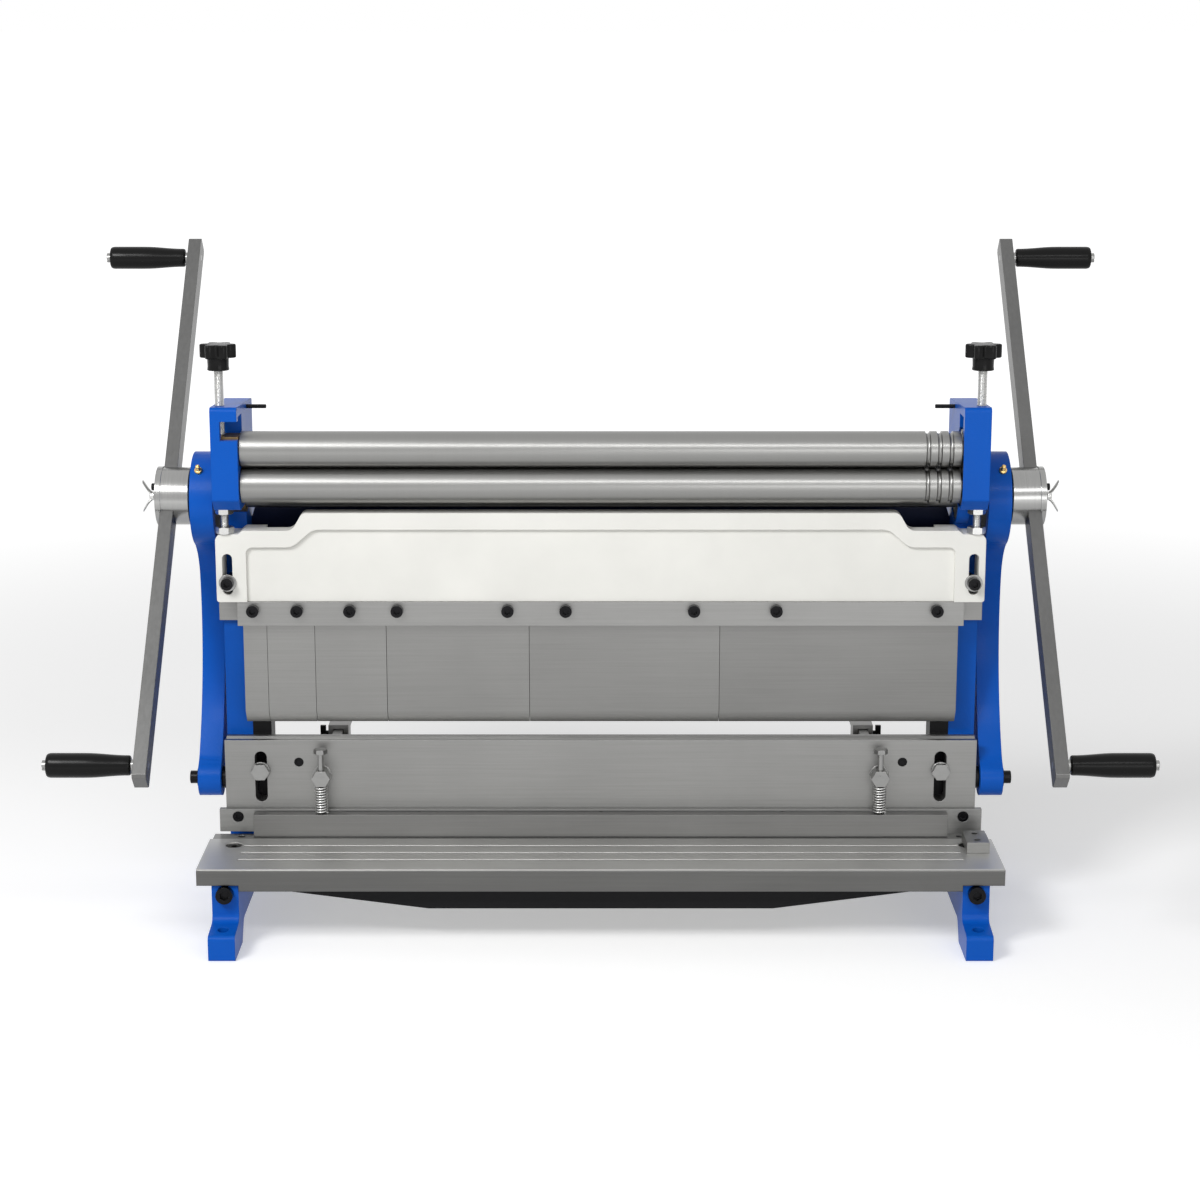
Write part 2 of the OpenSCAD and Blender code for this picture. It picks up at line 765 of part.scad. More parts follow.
module shaft_bushes() {
    color(bronze) {
        mirror([1, 0, 0]) {
            bush(inner_x, frame_t, shaft_d, shaft_bush_wall, shaft_y, shaft_z);
            bush(inner_x, frame_t, journal_d, bush_wall, roll_y, lower_roll_z);
        }
        bush(inner_x + pocket_x, frame_t - pocket_x, shaft_d, shaft_bush_wall, shaft_y, shaft_z);
        bush(inner_x + pocket_x, frame_t - pocket_x, journal_d, bush_wall, roll_y, lower_roll_z);
    }
}

// Moving beam: bending groove on top, guide slots and gauge holes at the ends
module bend_beam() {
    vee_deep = vee_w / 2;
    nose = finger_front + 10;
    color(steel) difference() {
        plate_x(-beam_x, 2 * beam_x)
            polygon([[beam_front, beam_bottom], [beam_rear, beam_bottom], [beam_rear, beam_top],
                [nose + vee_w / 2, beam_top], [nose, beam_top - vee_deep],
                [nose - vee_w / 2, beam_top], [beam_front, beam_top]]);
        for (s = [-1, 1]) {
            for (z = [slot_low + slot_w / 2, slot_high - slot_w / 2])
                rod_y(beam_front - over, beam_t + 2 * over, slot_w, s * guide_bolt_x, z);
            translate([s * guide_bolt_x - slot_w / 2, beam_front - over, slot_low + slot_w / 2])
                cube([slot_w, beam_t + 2 * over, slot_high - slot_low - slot_w]);
            rod_y(beam_front - over, beam_t + 2 * over, screw_d, s * gauge_stud_x, gauge_stud_z);
            rod_y(beam_front - over, 16, screw_d, s * spring_x, stud_z);
        }
        both() rod_x(beam_x - 24, 30, screw_d, beam_mid, arm_pin_z);
        for (x = blade_screw_x) rod_y(beam_front - over, 14, m8_d, x, blade_screw_z);
    }
}

// Upper shear blade, its cutting edge raked down to the right
module upper_blade() {
    low = table_top + blade_open;
    color(bright) difference() {
        plate_y(beam_front - blade_t, blade_t)
            polygon([[-blade_x, low + blade_h], [-blade_x, low],
                [blade_x, low - blade_rake], [blade_x, low + blade_h]]);
        for (x = blade_screw_x) {
            rod_y(beam_front - blade_t - over, blade_t + 2 * over, m8_d + 1, x, blade_screw_z);
            rod_y(beam_front - blade_t - over, 5 + over, m8_head_d - 1, x, blade_screw_z);
        }
    }
}

module blade_screws() {
    color(black) for (x = blade_screw_x)
        cap_screw_y(x, beam_front - blade_t + 5, blade_screw_z, blade_t + 6, m8_d, m8_head_d - 2, 4.8);
}

// Pins that carry the connecting arms' lower eyes, with spacer and cap
module arm_pins() {
    color(black) both() {
        rod_x(beam_x - 24, 24 + over, screw_d - 2 * running, beam_mid, arm_pin_z);
        rod_x(beam_x, arm_gap - seat, arm_pin_d + 10, beam_mid, arm_pin_z);
        rod_x(beam_x + 2, arm_gap + arm_t + 2, arm_pin_d, beam_mid, arm_pin_z);
        rod_x(arm_x + arm_t + seat, 1.8, arm_pin_d + 8, beam_mid, arm_pin_z);
        rod_x(arm_x + arm_t + seat, 10, arm_pin_d, beam_mid, arm_pin_z);
    }
}

// Hexagonal studs on the beam, cross-drilled for the hold-down bolts
module hold_down_studs() {
    color(bright) both() difference() {
        union() {
            translate([spring_x, beam_front - stud_l, stud_z]) rotate([-90, 0, 0])
                cylinder(h = stud_l, d = stud_af / cos(30), $fn = 6);
            rod_y(beam_front - over, 15, screw_d - 2 * running, spring_x, stud_z);
        }
        rod_z(stud_z - 20, 40, hold_bolt_d + 1, spring_x, hold_mid);
    }
}

// Support bars of the back gauge, with the foot and stud that hold each
module gauge_bars() {
    color(steel) both() {
        block([gauge_bar_x - gauge_bar_t / 2, gauge_bar_x + gauge_bar_t / 2],
            [beam_rear, beam_rear + gauge_bar_l], [gauge_bar_z, gauge_bar_z + gauge_bar_h]);
        block([gauge_bar_x - gauge_bar_t / 2, gauge_stud_x + 12], [beam_rear, beam_rear + 6],
            [gauge_stud_z - 10, gauge_bar_z + gauge_bar_h]);
        rod_y(beam_front + 2, beam_t, screw_d - 2 * running, gauge_stud_x, gauge_stud_z);
    }
}

module hold_down_bar() {
    color(bright) difference() {
        block([-hold_x, hold_x], [hold_rear - hold_t, hold_rear], [hold_bottom, hold_bottom + hold_h]);
        both() rod_z(hold_bottom + 5, hold_h, hold_bolt_d, spring_x, hold_mid);
    }
}

module hold_down_bolts() {
    color(bright) both() {
        translate([spring_x, hold_mid, hold_bolt_top - 5]) cylinder(h = 5, d = 13 / cos(30), $fn = 6);
        rod_z(hold_bottom + 6, hold_bolt_top - hold_bottom - 8, hold_bolt_d - 2 * running,
            spring_x, hold_mid);
    }
}

// Compression springs as one swept wire each, with their ends laid flat
spring_low = hold_bottom + hold_h + spring_wire / 2 + seat / 2;
spring_high = stud_z - stud_af / 2 - spring_wire / 2 - seat / 2;
spring_steps = 8;
spring_sides = 6;
spring_count = spring_turns * spring_steps;
function spring_point(i) =
    let (a = 360 * i / spring_steps)
    [spring_d / 2 * cos(a), spring_d / 2 * sin(a),
        spring_low + (spring_high - spring_low) * i / spring_count];

// Least clear gap between neighbouring turns, measured on the wire's own points
spring_gap = min([for (i = [0:spring_count - spring_steps / 2])
    for (j = [i + spring_steps / 2:spring_count])
        norm(spring_point(i) - spring_point(j))]) - spring_wire;
echo(least_gap_in_a_spring = spring_gap);

module spring() {
    points = [for (i = [0:spring_count]) let (a = 360 * i / spring_steps)
        each [for (k = [0:spring_sides - 1]) let (b = 360 * k / spring_sides)
            spring_point(i) + spring_wire / 2 * [cos(b) * cos(a), cos(b) * sin(a), sin(b)]]];
    n = spring_sides;
    sides = [for (i = [0:spring_count - 1]) for (k = [0:n - 1]) let (k2 = (k + 1) % n)
        each [[i * n + k, i * n + k2, (i + 1) * n + k2], [i * n + k, (i + 1) * n + k2, (i + 1) * n + k]]];
    caps = [for (k = [1:n - 2])
        each [[0, k + 1, k], [spring_count * n, spring_count * n + k, spring_count * n + k + 1]]];
    polyhedron(points = points, faces = [for (f = concat(sides, caps)) [f[0], f[2], f[1]]]);
}

module hold_down_springs() {
    color(bright) for (s = [-1, 1]) translate([s * spring_x, hold_mid, 0]) spring();
}

// Back gauge: stop plate hung from two sliders on the support bars
module back_gauge() {
    slide = 0.3;
    color(steel) difference() {
        union() {
            block([-gauge_x, gauge_x], [gauge_y, gauge_y + 5], [gauge_low, gauge_bar_z - 3]);
            both() block([gauge_bar_x - 11, gauge_bar_x + 11], [gauge_y, gauge_y + 26],
                [gauge_bar_z - 9, gauge_bar_z + gauge_bar_h + 5]);
        }
        both() {
            block([gauge_bar_x - gauge_bar_t / 2 - slide, gauge_bar_x + gauge_bar_t / 2 + slide],
                [gauge_y - over, gauge_y + 27], [gauge_bar_z - slide, gauge_bar_z + gauge_bar_h + slide]);
            rod_x(gauge_bar_x + gauge_bar_t / 2, 12, 6, gauge_y + 14, gauge_bar_z + gauge_bar_h / 2);
        }
    }
}

// Wing screws that lock the back gauge on its bars
module gauge_wing_screws() {
    x = gauge_bar_x + gauge_bar_t / 2 + seat;
    z = gauge_bar_z + gauge_bar_h / 2;
    color(black) both() {
        rod_x(x, 14, 6 - 2 * running, gauge_y + 14, z);
        rod_x(gauge_bar_x + 11, 6, 10, gauge_y + 14, z);
        block([gauge_bar_x + 15, gauge_bar_x + 21], [gauge_y + 12, gauge_y + 16], [z - 11, z + 11]);
    }
}

module drive_shaft() {
    color(bright) rod_x(-bar_x + 1, 2 * bar_x - 2, shaft_d, shaft_y, shaft_z);
}

module drive_gear() {
    color(steel) difference() {
        plate_x(gear_x, gear_w) translate([shaft_y, shaft_z])
            polygon(gear_outline(drive_teeth, drive_phase));
        rod_x(gear_x - over, gear_w + 2 * over, shaft_d, shaft_y, shaft_z);
    }
}

// Eccentric discs that turn inside the rings of the connecting arms
module eccentrics() {
    color(steel) both() difference() {
        rod_x(arm_x, arm_t, eccentric_d, ring_y, ring_z);
        rod_x(arm_x - over, arm_t + 2 * over, shaft_d, shaft_y, shaft_z);
    }
}

// Crank hub: bored for the shaft, with a slot that takes the crank bar
module hub() {
    color(bright) difference() {
        union() {
            rod_x(hub_x, hub_l - hub_disc_t, hub_d - 2, shaft_y, shaft_z);
            rod_x(hub_end - hub_disc_t, hub_disc_t, hub_d, shaft_y, shaft_z);
        }
        rod_x(hub_x - over, bar_x - hub_x + over, shaft_d, shaft_y, shaft_z);
        bar_place() cube([bar_t + 2 * bar_fit, bar_w + 2 * bar_fit, hub_d + 4], center = true);
        rod_x(bar_x, hub_l, 8, shaft_y, shaft_z);
    }
}

module bar_place() {
    translate([bar_x + bar_t / 2, shaft_y, shaft_z]) rotate([-bar_lean, 0, 0]) children();
}

module left_hub() { mirror([1, 0, 0]) hub(); }

module right_hub() { hub(); }

// Straight crank bar, chamfered at its ends and drilled for the grip bolts
module crank_bar() {
    bevel = 3;
    color(bright) bar_place() difference() {
        rotate([0, 90, 0]) linear_extrude(bar_t, center = true)
            polygon([for (p = [[1, 1, 0], [1, 1, 1], [1, -1, 1], [1, -1, 0], [-1, -1, 0], [-1, -1, 1],
                [-1, 1, 1], [-1, 1, 0]])
                [p[0] * (bar_reach - bevel * (1 - p[2])), p[1] * (bar_w / 2 - bevel * p[2])]]);
        for (s = [-1, 1]) translate([0, 0, s * grip_reach]) rotate([0, 90, 0])
            cylinder(h = bar_t + 2 * over, d = grip_bore, center = true);
    }
}

module left_crank_bar() { mirror([1, 0, 0]) crank_bar(); }

module right_crank_bar() { crank_bar(); }

function grip_place(s) =
    [shaft_y + s * grip_reach * sin(bar_lean), shaft_z + s * grip_reach * cos(bar_lean)];

// Shouldered bolts on which the hand grips turn
module grip_bolts() {
    head = grip_x + grip_l + seat;
    color(bright) both() for (s = [-1, 1]) let (p = grip_place(s)) difference() {
        union() {
            rod_x(bar_x, head - bar_x + over, grip_bore - 2 * running, p[0], p[1]);
            rod_x(bar_x + bar_t, grip_gap - seat, 12, p[0], p[1]);
            rod_x(head, grip_head_h, grip_head_d, p[0], p[1]);
        }
        translate([head + grip_head_h, p[0], p[1]]) rotate([grip_slot_turn, 0, 0])
            cube([grip_head_h, grip_head_d + over, 1.6], center = true);
    }
}

// Hand grip: slim at the bar, fuller outside, rounded over at its end
module grip(s) {
    p = grip_place(s);
    nose = 4;
    color(black) translate([grip_x, p[0], p[1]]) rotate([0, 90, 0]) rotate_extrude()
        polygon([[grip_bore / 2 + running, 0], [grip_slim - 1.5, 0], [grip_slim, 1.5], [grip_slim, 6],
            [grip_d / 2 - 1.3, grip_l / 4], [grip_d / 2, grip_l / 2], [grip_d / 2, grip_l - nose],
            [grip_d / 2 - 1.2, grip_l - 1.2], [grip_d / 2 - nose, grip_l],
            [grip_bore / 2 + running, grip_l]]);
}

module left_upper_grip() { mirror([1, 0, 0]) grip(1); }

module left_lower_grip() { mirror([1, 0, 0]) grip(-1); }

module right_upper_grip() { grip(1); }

module right_lower_grip() { grip(-1); }

// Wing bolt in the middle of the hub, which clamps the crank bar, with its two
// wings swept outwards
module wing_bolt() {
    wing_t = 3;
    boss_l = 8;
    root = hub_end + 3;
    color(bright) {
        rod_x(bar_x + bar_t + seat, hub_end - bar_x - bar_t + 4, 8 - 2 * running, shaft_y, shaft_z);
        rod_x(hub_end + seat, boss_l, 12, shaft_y, shaft_z);
        translate([0, 0, shaft_z]) plate_y(shaft_y - wing_t / 2, wing_t)
            polygon(rounded([[root, -5, 1], [root + 6, -15, 3], [root + 15, -18, 4], [root + 13, -10, 3],
                [root + boss_l - 2, -4, 2], [root + boss_l - 2, 4, 2], [root + 13, 10, 3],
                [root + 15, 18, 4], [root + 6, 15, 3], [root, 5, 1]]));
    }
}

module left_wing_bolt() { mirror([1, 0, 0]) wing_bolt(); }

module right_wing_bolt() { wing_bolt(); }

// Outline of the arm's bowed middle, as an arc from its ring to its eye
function strap_outline() =
    let (a = [ring_y, ring_z], b = [eye_y, eye_z], mid = (a + b) / 2, run = norm(a - b),
        back = unit([a[1] - b[1], b[0] - a[0]]),
        r = (run * run / 4 + strap_bow * strap_bow) / (2 * strap_bow),
        c = mid + back * (strap_bow - r),
        a0 = atan2(b[1] - c[1], b[0] - c[0]), a1 = atan2(a[1] - c[1], a[0] - c[0]))
    concat([for (i = [0:16]) c + polar(r + strap_w / 2, a0 + (a1 - a0) * i / 16)],
        [for (i = [16:-1:0]) c + polar(r - strap_w / 2, a0 + (a1 - a0) * i / 16)]);

// Connecting arm: ring on the eccentric, bowed strap, eye on the beam's pin
module arm() {
    color(blue) difference() {
        plate_x(arm_x, arm_t) {
            translate([ring_y, ring_z]) circle(d = ring_d);
            translate([eye_y, eye_z]) circle(r = eye_r);
            polygon(strap_outline());
        }
        rod_x(arm_x - over, arm_t + 2 * over, eccentric_d + 2 * running, ring_y, ring_z);
        rod_x(arm_x - over, arm_t + 2 * over, arm_pin_d + 2 * eye_play, eye_y, eye_z);
    }
}

module left_arm() { mirror([1, 0, 0]) arm(); }

module right_arm() { arm(); }

module roll_body(y, z) {
    difference() {
        rod_x(-roll_x, 2 * roll_x, roll_d, y, z);
        for (i = [0:2])
            translate([roll_x - groove_first - i * groove_pitch, y, z]) rotate([0, 90, 0])
                rotate_extrude() translate([roll_d / 2, 0]) circle(r = groove_r, $fn = 24);
    }
    rod_x(-outer_x + slip, 2 * (outer_x - slip), journal_d, y, z);
}

module roll_gear(y, z, phase) {
    difference() {
        plate_x(gear_x, gear_w) translate([y, z]) polygon(gear_outline(roll_teeth, phase));
        rod_x(gear_x - over, gear_w + 2 * over, journal_d, y, z);
    }
}

module lower_roll() {
    color(bright) roll_body(roll_y, lower_roll_z);
    color(steel) roll_gear(roll_y, lower_roll_z, lower_phase);
}

module upper_roll() {
    color(bright) roll_body(roll_y, upper_roll_z);
    color(steel) roll_gear(roll_y, upper_roll_z, upper_phase);
}

module rear_roll() {
    color(bright) roll_body(rear_roll_y, rear_roll_z);
}

module bearing_block(x, y, z, h) {
    difference() {
        block([x[0], x[1]], [y - block_w / 2, y + block_w / 2], [z - h / 2, z + h / 2]);
        rod_x(x[0] - over, x[1] - x[0] + 2 * over, journal_d + 2 * running, y, z);
        children();
    }
}

module upper_roll_blocks() {
    right = [inner_x + pocket_x + block_face, outer_x - block_face];
    left = [-outer_x + block_face, -inner_x - block_face];
    color(bronze) {
        for (x = [left, right])
            bearing_block(x, roll_y, upper_roll_z, block_h)
                rod_z(upper_roll_z + block_h / 2 - screw_nose_l, screw_nose_l + over,
                    screw_nose_d + 2 * running, sign(x[0]) * adjust_x, roll_y);
    }
}

module rear_roll_blocks() {
    right = [inner_x + pocket_x + block_face, outer_x - block_face];
    left = [-outer_x + block_face, -inner_x - block_face];
    nose_l = screw_nose_l / 2;
    color(bronze) {
        for (x = [left, right])
            bearing_block(x, rear_roll_y, rear_roll_z, block_w)
                rod_y(rear_roll_y + block_w / 2 - nose_l, nose_l + over,
                    screw_nose_d + 2 * running, sign(x[0]) * adjust_x, rear_roll_z);
    }
}

// Star knob with its screw, drawn upright from the bearing block's face
module adjusting_knob(rise, nose_l) {
    color(black) difference() {
        union() {
            translate([0, 0, rise]) cylinder(h = knob_neck_l + 2, d = knob_neck_d);
            translate([0, 0, rise + knob_neck_l]) {
                cylinder(h = knob_h, r = knob_r - 5);
                for (i = [0:knob_lobes - 1])
                    rotate(i * 360 / knob_lobes) translate([knob_r - knob_lobe_r, 0, 0])
                        cylinder(h = knob_h, r = knob_lobe_r);
            }
        }
        translate([0, 0, rise - over]) cylinder(h = knob_neck_l + 6, d = screw_d);
    }
    color(bright) {
        translate([0, 0, -nose_l + seat]) cylinder(h = nose_l + over, d = screw_nose_d);
        translate([0, 0, seat]) cylinder(h = rise + knob_neck_l + 5 - seat, d = screw_d);
    }
}

module upper_knob() {
    top = upper_roll_z + block_h / 2;
    translate([adjust_x, roll_y, top]) adjusting_knob(frame_h + knob_rise - top, screw_nose_l);
}

module left_adjusting_knob() { mirror([1, 0, 0]) upper_knob(); }

module right_adjusting_knob() { upper_knob(); }

module rear_knob() {
    back = rear_roll_y + block_w / 2;
    translate([adjust_x, back, rear_roll_z]) rotate([-90, 0, 0])
        adjusting_knob(housing_rear + rear_knob_rise - back, screw_nose_l / 2);
}

module left_rear_knob() { mirror([1, 0, 0]) rear_knob(); }

module right_rear_knob() { rear_knob(); }

left_side_frame();
right_side_frame();
table();
table_stiffener();
lower_blade();
table_screws();
side_guide_block();
upper_beam();
beam_bolts();
jack_bolts();
back_ledge_bar();
clamp_bar();
clamp_screws();
finger(0);  // finger_1in
finger(1);  // finger_2in
finger(2);  // finger_3in
finger(3);  // finger_6in
finger(4);  // finger_8in
finger(5);  // finger_10in
cross_panel();
tie_rods();
beam_guides();
guide_bolts();
shaft_bushes();
bend_beam();
upper_blade();
blade_screws();
arm_pins();
hold_down_studs();
gauge_bars();
hold_down_bar();
hold_down_bolts();
hold_down_springs();
back_gauge();
gauge_wing_screws();
drive_shaft();
drive_gear();
eccentrics();
left_hub();
right_hub();
left_crank_bar();
right_crank_bar();
grip_bolts();
left_wing_bolt();
right_wing_bolt();
left_arm();
right_arm();
left_upper_grip();
left_lower_grip();
right_upper_grip();
right_lower_grip();
lower_roll();
upper_roll();
rear_roll();
upper_roll_blocks();
rear_roll_blocks();
left_adjusting_knob();
right_adjusting_knob();
left_rear_knob();
right_rear_knob();
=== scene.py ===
import math

import bpy
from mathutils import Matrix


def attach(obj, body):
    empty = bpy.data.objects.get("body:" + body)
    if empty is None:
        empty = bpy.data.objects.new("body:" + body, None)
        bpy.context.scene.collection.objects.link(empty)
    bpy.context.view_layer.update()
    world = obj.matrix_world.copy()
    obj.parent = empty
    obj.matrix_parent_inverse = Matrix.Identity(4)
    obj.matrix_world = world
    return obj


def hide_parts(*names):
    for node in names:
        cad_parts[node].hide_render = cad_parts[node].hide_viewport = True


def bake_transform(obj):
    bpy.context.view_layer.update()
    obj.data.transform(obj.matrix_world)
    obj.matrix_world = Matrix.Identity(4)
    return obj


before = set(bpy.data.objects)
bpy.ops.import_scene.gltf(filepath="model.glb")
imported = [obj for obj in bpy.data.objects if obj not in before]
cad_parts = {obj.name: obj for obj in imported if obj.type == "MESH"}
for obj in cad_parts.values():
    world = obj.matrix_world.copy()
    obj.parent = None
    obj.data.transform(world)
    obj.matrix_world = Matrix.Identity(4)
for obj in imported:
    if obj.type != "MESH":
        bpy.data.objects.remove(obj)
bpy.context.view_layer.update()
bpy.ops.object.select_all(action="DESELECT")
scene = bpy.context.scene
scene.view_settings.view_transform = "Standard"


# Camera.
# It stands 2.75 m in front of the machine and looks down on it by 12.8 degrees, as
# the photograph does.
frame_pixels = 1200
focal_pixels = 2640
tilt = math.radians(77.2)
bpy.ops.object.camera_add(location=(-0.0007, -2.752, 0.9663), rotation=(tilt, 0, 0))
camera = bpy.context.object
camera.name = "camera"
camera.data.angle = 2 * math.atan(frame_pixels / 2 / focal_pixels)
scene.camera = camera


# Floor and backdrop.
# A pale studio floor that runs to the horizon. It glows a little more with distance, so
# it stays white to the eye, and the light that falls on it leaves the machine's shadow.
bpy.ops.mesh.primitive_plane_add(size=160)
floor = bpy.context.object
floor.name = "studio_floor"
floor_paint = bpy.data.materials.new("studio_floor")
floor_paint.use_nodes = True
tree = floor_paint.node_tree
diffuse = tree.nodes["Principled BSDF"]
diffuse.inputs["Base Color"].default_value = (0.86, 0.86, 0.86, 1)
diffuse.inputs["Roughness"].default_value = 0.9
diffuse.inputs["Specular IOR Level"].default_value = 0
glow = tree.nodes.new("ShaderNodeEmission")
path = tree.nodes.new("ShaderNodeLightPath")
both = tree.nodes.new("ShaderNodeMath")
both.operation = "MAXIMUM"
place = tree.nodes.new("ShaderNodeTexCoord")
away = tree.nodes.new("ShaderNodeVectorMath")
away.operation = "LENGTH"
far = tree.nodes.new("ShaderNodeMapRange")
far.interpolation_type = "SMOOTHSTEP"
far.inputs["From Min"].default_value = 0.9
far.inputs["From Max"].default_value = 3.5
far.inputs["To Min"].default_value = 0.34
far.inputs["To Max"].default_value = 0.85
level = tree.nodes.new("ShaderNodeMath")
level.operation = "MULTIPLY"
added = tree.nodes.new("ShaderNodeAddShader")
tree.links.new(path.outputs["Is Camera Ray"], both.inputs[0])
tree.links.new(path.outputs["Is Glossy Ray"], both.inputs[1])
tree.links.new(place.outputs["Object"], away.inputs[0])
tree.links.new(away.outputs["Value"], far.inputs["Value"])
tree.links.new(both.outputs[0], level.inputs[0])
tree.links.new(far.outputs["Result"], level.inputs[1])
tree.links.new(level.outputs[0], glow.inputs["Strength"])
tree.links.new(diffuse.outputs[0], added.inputs[0])
tree.links.new(glow.outputs[0], added.inputs[1])
tree.links.new(added.outputs[0], tree.nodes["Material Output"].inputs["Surface"])
floor.data.materials.append(floor_paint)

world = bpy.data.worlds.new("studio")
scene.world = world
world.use_nodes = True
tree = world.node_tree
room = tree.nodes["Background"]
room.inputs["Color"].default_value = (1, 1, 1, 1)
room.inputs["Strength"].default_value = 0.32
white = tree.nodes.new("ShaderNodeBackground")
white.inputs["Color"].default_value = (1, 1, 1, 1)
path = tree.nodes.new("ShaderNodeLightPath")
both = tree.nodes.new("ShaderNodeMath")
both.operation = "MAXIMUM"
every = tree.nodes.new("ShaderNodeMath")
every.operation = "MAXIMUM"
seen = tree.nodes.new("ShaderNodeMixShader")
tree.links.new(path.outputs["Is Camera Ray"], both.inputs[0])
tree.links.new(path.outputs["Is Glossy Ray"], both.inputs[1])
tree.links.new(both.outputs[0], every.inputs[0])
tree.links.new(path.outputs["Is Transmission Ray"], every.inputs[1])
tree.links.new(every.outputs[0], seen.inputs[0])
tree.links.new(room.outputs[0], seen.inputs[1])
tree.links.new(white.outputs[0], seen.inputs[2])
tree.links.new(seen.outputs[0], tree.nodes["World Output"].inputs["Surface"])


# Lights.
# One broad soft light high on the left, a weak one low in front on the right, and a
# long strip above the camera that draws the bright line along the rolls.
def soft_light(name, place, target, size, watts):
    bpy.ops.object.light_add(type="AREA", location=place)
    lamp = bpy.context.object
    lamp.name = name
    lamp.data.shape = "RECTANGLE"
    lamp.data.size, lamp.data.size_y = size
    lamp.data.energy = watts
    aim = [target[i] - place[i] for i in range(3)]
    flat = math.hypot(aim[0], aim[1])
    lamp.rotation_euler = (math.atan2(flat, -aim[2]), 0, math.atan2(aim[1], aim[0]) - math.pi / 2)


soft_light("key_light", place=(-1.5, -1.9, 2.3), target=(0, 0, 0.35), size=(1.0, 0.8), watts=48)
soft_light("fill_light", place=(0.9, -2.7, 0.6), target=(0, 0, 0.15), size=(1.6, 0.6), watts=8)
soft_light("strip_light", place=(0, -2.5, 2.15), target=(0, 0, 0.48), size=(3.4, 0.4), watts=24)


# Side frames.
# Two iron castings, foot to roll housing in one, their tops falling a little to the
# back. Gloss blue enamel lies soft over the cast edges and the skin of the sand.
def enamel(name, colour, roughness, grain, depth, edge):
    paint = bpy.data.materials.new(name)
    paint.use_nodes = True
    nodes, links = paint.node_tree.nodes, paint.node_tree.links
    shader = nodes["Principled BSDF"]
    shader.inputs["Specular IOR Level"].default_value = 0.1
    shader.inputs["Coat Weight"].default_value = 0.05
    shader.inputs["Coat Roughness"].default_value = 0.12
    place = nodes.new("ShaderNodeTexCoord")
    cloud = nodes.new("ShaderNodeTexNoise")
    cloud.inputs["Scale"].default_value = 14
    cloud.inputs["Detail"].default_value = 5
    shade = nodes.new("ShaderNodeValToRGB")
    shade.color_ramp.elements[0].position = 0.3
    shade.color_ramp.elements[0].color = [c * 0.96 for c in colour] + [1]
    shade.color_ramp.elements[1].position = 0.7
    shade.color_ramp.elements[1].color = [min(1, c * 1.03) for c in colour] + [1]
    dull = nodes.new("ShaderNodeMapRange")
    dull.inputs["To Min"].default_value = roughness - 0.06
    dull.inputs["To Max"].default_value = roughness + 0.08
    skin_grain_and_front_shade = nodes.new("ShaderNodeTexNoise")
    skin_grain_and_front_shade.inputs["Scale"].default_value = grain
    skin_grain_and_front_shade.inputs["Detail"].default_value = 4
    bevel = nodes.new("ShaderNodeBevel")
    bevel.samples = 6
    bevel.inputs["Radius"].default_value = edge
    bump = nodes.new("ShaderNodeBump")
    bump.inputs["Strength"].default_value = 0.35
    bump.inputs["Distance"].default_value = depth
    links.new(place.outputs["Object"], cloud.inputs["Vector"])
    links.new(place.outputs["Object"], skin_grain_and_front_shade.inputs["Vector"])
    links.new(cloud.outputs["Fac"], shade.inputs["Fac"])
    links.new(cloud.outputs["Fac"], dull.inputs["Value"])
    links.new(shade.outputs["Color"], shader.inputs["Base Color"])
    links.new(dull.outputs["Result"], shader.inputs["Roughness"])
    links.new(skin_grain_and_front_shade.outputs["Fac"], bump.inputs["Height"])
    links.new(bevel.outputs["Normal"], bump.inputs["Normal"])
    links.new(bump.outputs["Normal"], shader.inputs["Normal"])
    return paint


def dress(material, *names):
    for name in names:
        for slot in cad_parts[name].material_slots:
            slot.material = material


def rounded_copy(node, name, width, segments, added, fall):
    """A node's mesh with its edges rounded, pieces added to it, and its top sloping back."""
    slope_start, slope_run, front_face = 0.54, 0.016, -0.05
    piece = bpy.data.objects.new(name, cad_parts[node].data.copy())
    scene.collection.objects.link(piece)
    bpy.ops.object.select_all(action="DESELECT")
    bpy.context.view_layer.objects.active = piece
    piece.select_set(True)
    bpy.ops.mesh.customdata_custom_splitnormals_clear()
    bpy.ops.object.mode_set(mode="EDIT")
    bpy.ops.mesh.select_all(action="SELECT")
    bpy.ops.mesh.remove_doubles(threshold=0.000005)
    bpy.ops.object.mode_set(mode="OBJECT")
    for extra in added:
        union = piece.modifiers.new("added", "BOOLEAN")
        union.operation = "UNION"
        union.solver = "EXACT"
        union.object = extra
        bpy.ops.object.modifier_apply(modifier=union.name)
        bpy.data.objects.remove(extra)
    for vertex in piece.data.vertices:
        near_top = min(1, max(0, (vertex.co.z - slope_start) / slope_run))
        vertex.co.z -= near_top * fall * (vertex.co.y - front_face)
    bpy.ops.object.mode_set(mode="EDIT")
    bpy.ops.mesh.select_all(action="SELECT")
    bpy.ops.mesh.dissolve_limited(angle_limit=math.radians(1))
    bpy.ops.mesh.select_all(action="SELECT")
    bpy.ops.mesh.normals_make_consistent(inside=False)
    bpy.ops.object.mode_set(mode="OBJECT")
    soft = piece.modifiers.new("soft_edges", "BEVEL")
    soft.width = width
    soft.segments = segments
    soft.limit_method = "ANGLE"
    soft.angle_limit = math.radians(40)
    bpy.ops.object.modifier_apply(modifier=soft.name)
    bpy.ops.object.shade_smooth_by_angle(angle=math.radians(46))
    flats = piece.modifiers.new("flat_faces", "WEIGHTED_NORMAL")
    flats.keep_sharp = True
    bpy.ops.object.modifier_apply(modifier=flats.name)
    piece.select_set(False)
    return piece


def soften(node, width, segments, material, body, added=(), fall=0):
    """Puts a copy with rounded edges in the place of a node."""
    piece = rounded_copy(node, "softened_" + node, width, segments, added, fall)
    piece.data.materials.clear()
    piece.data.materials.append(material)
    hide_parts(node)
    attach(piece, body)


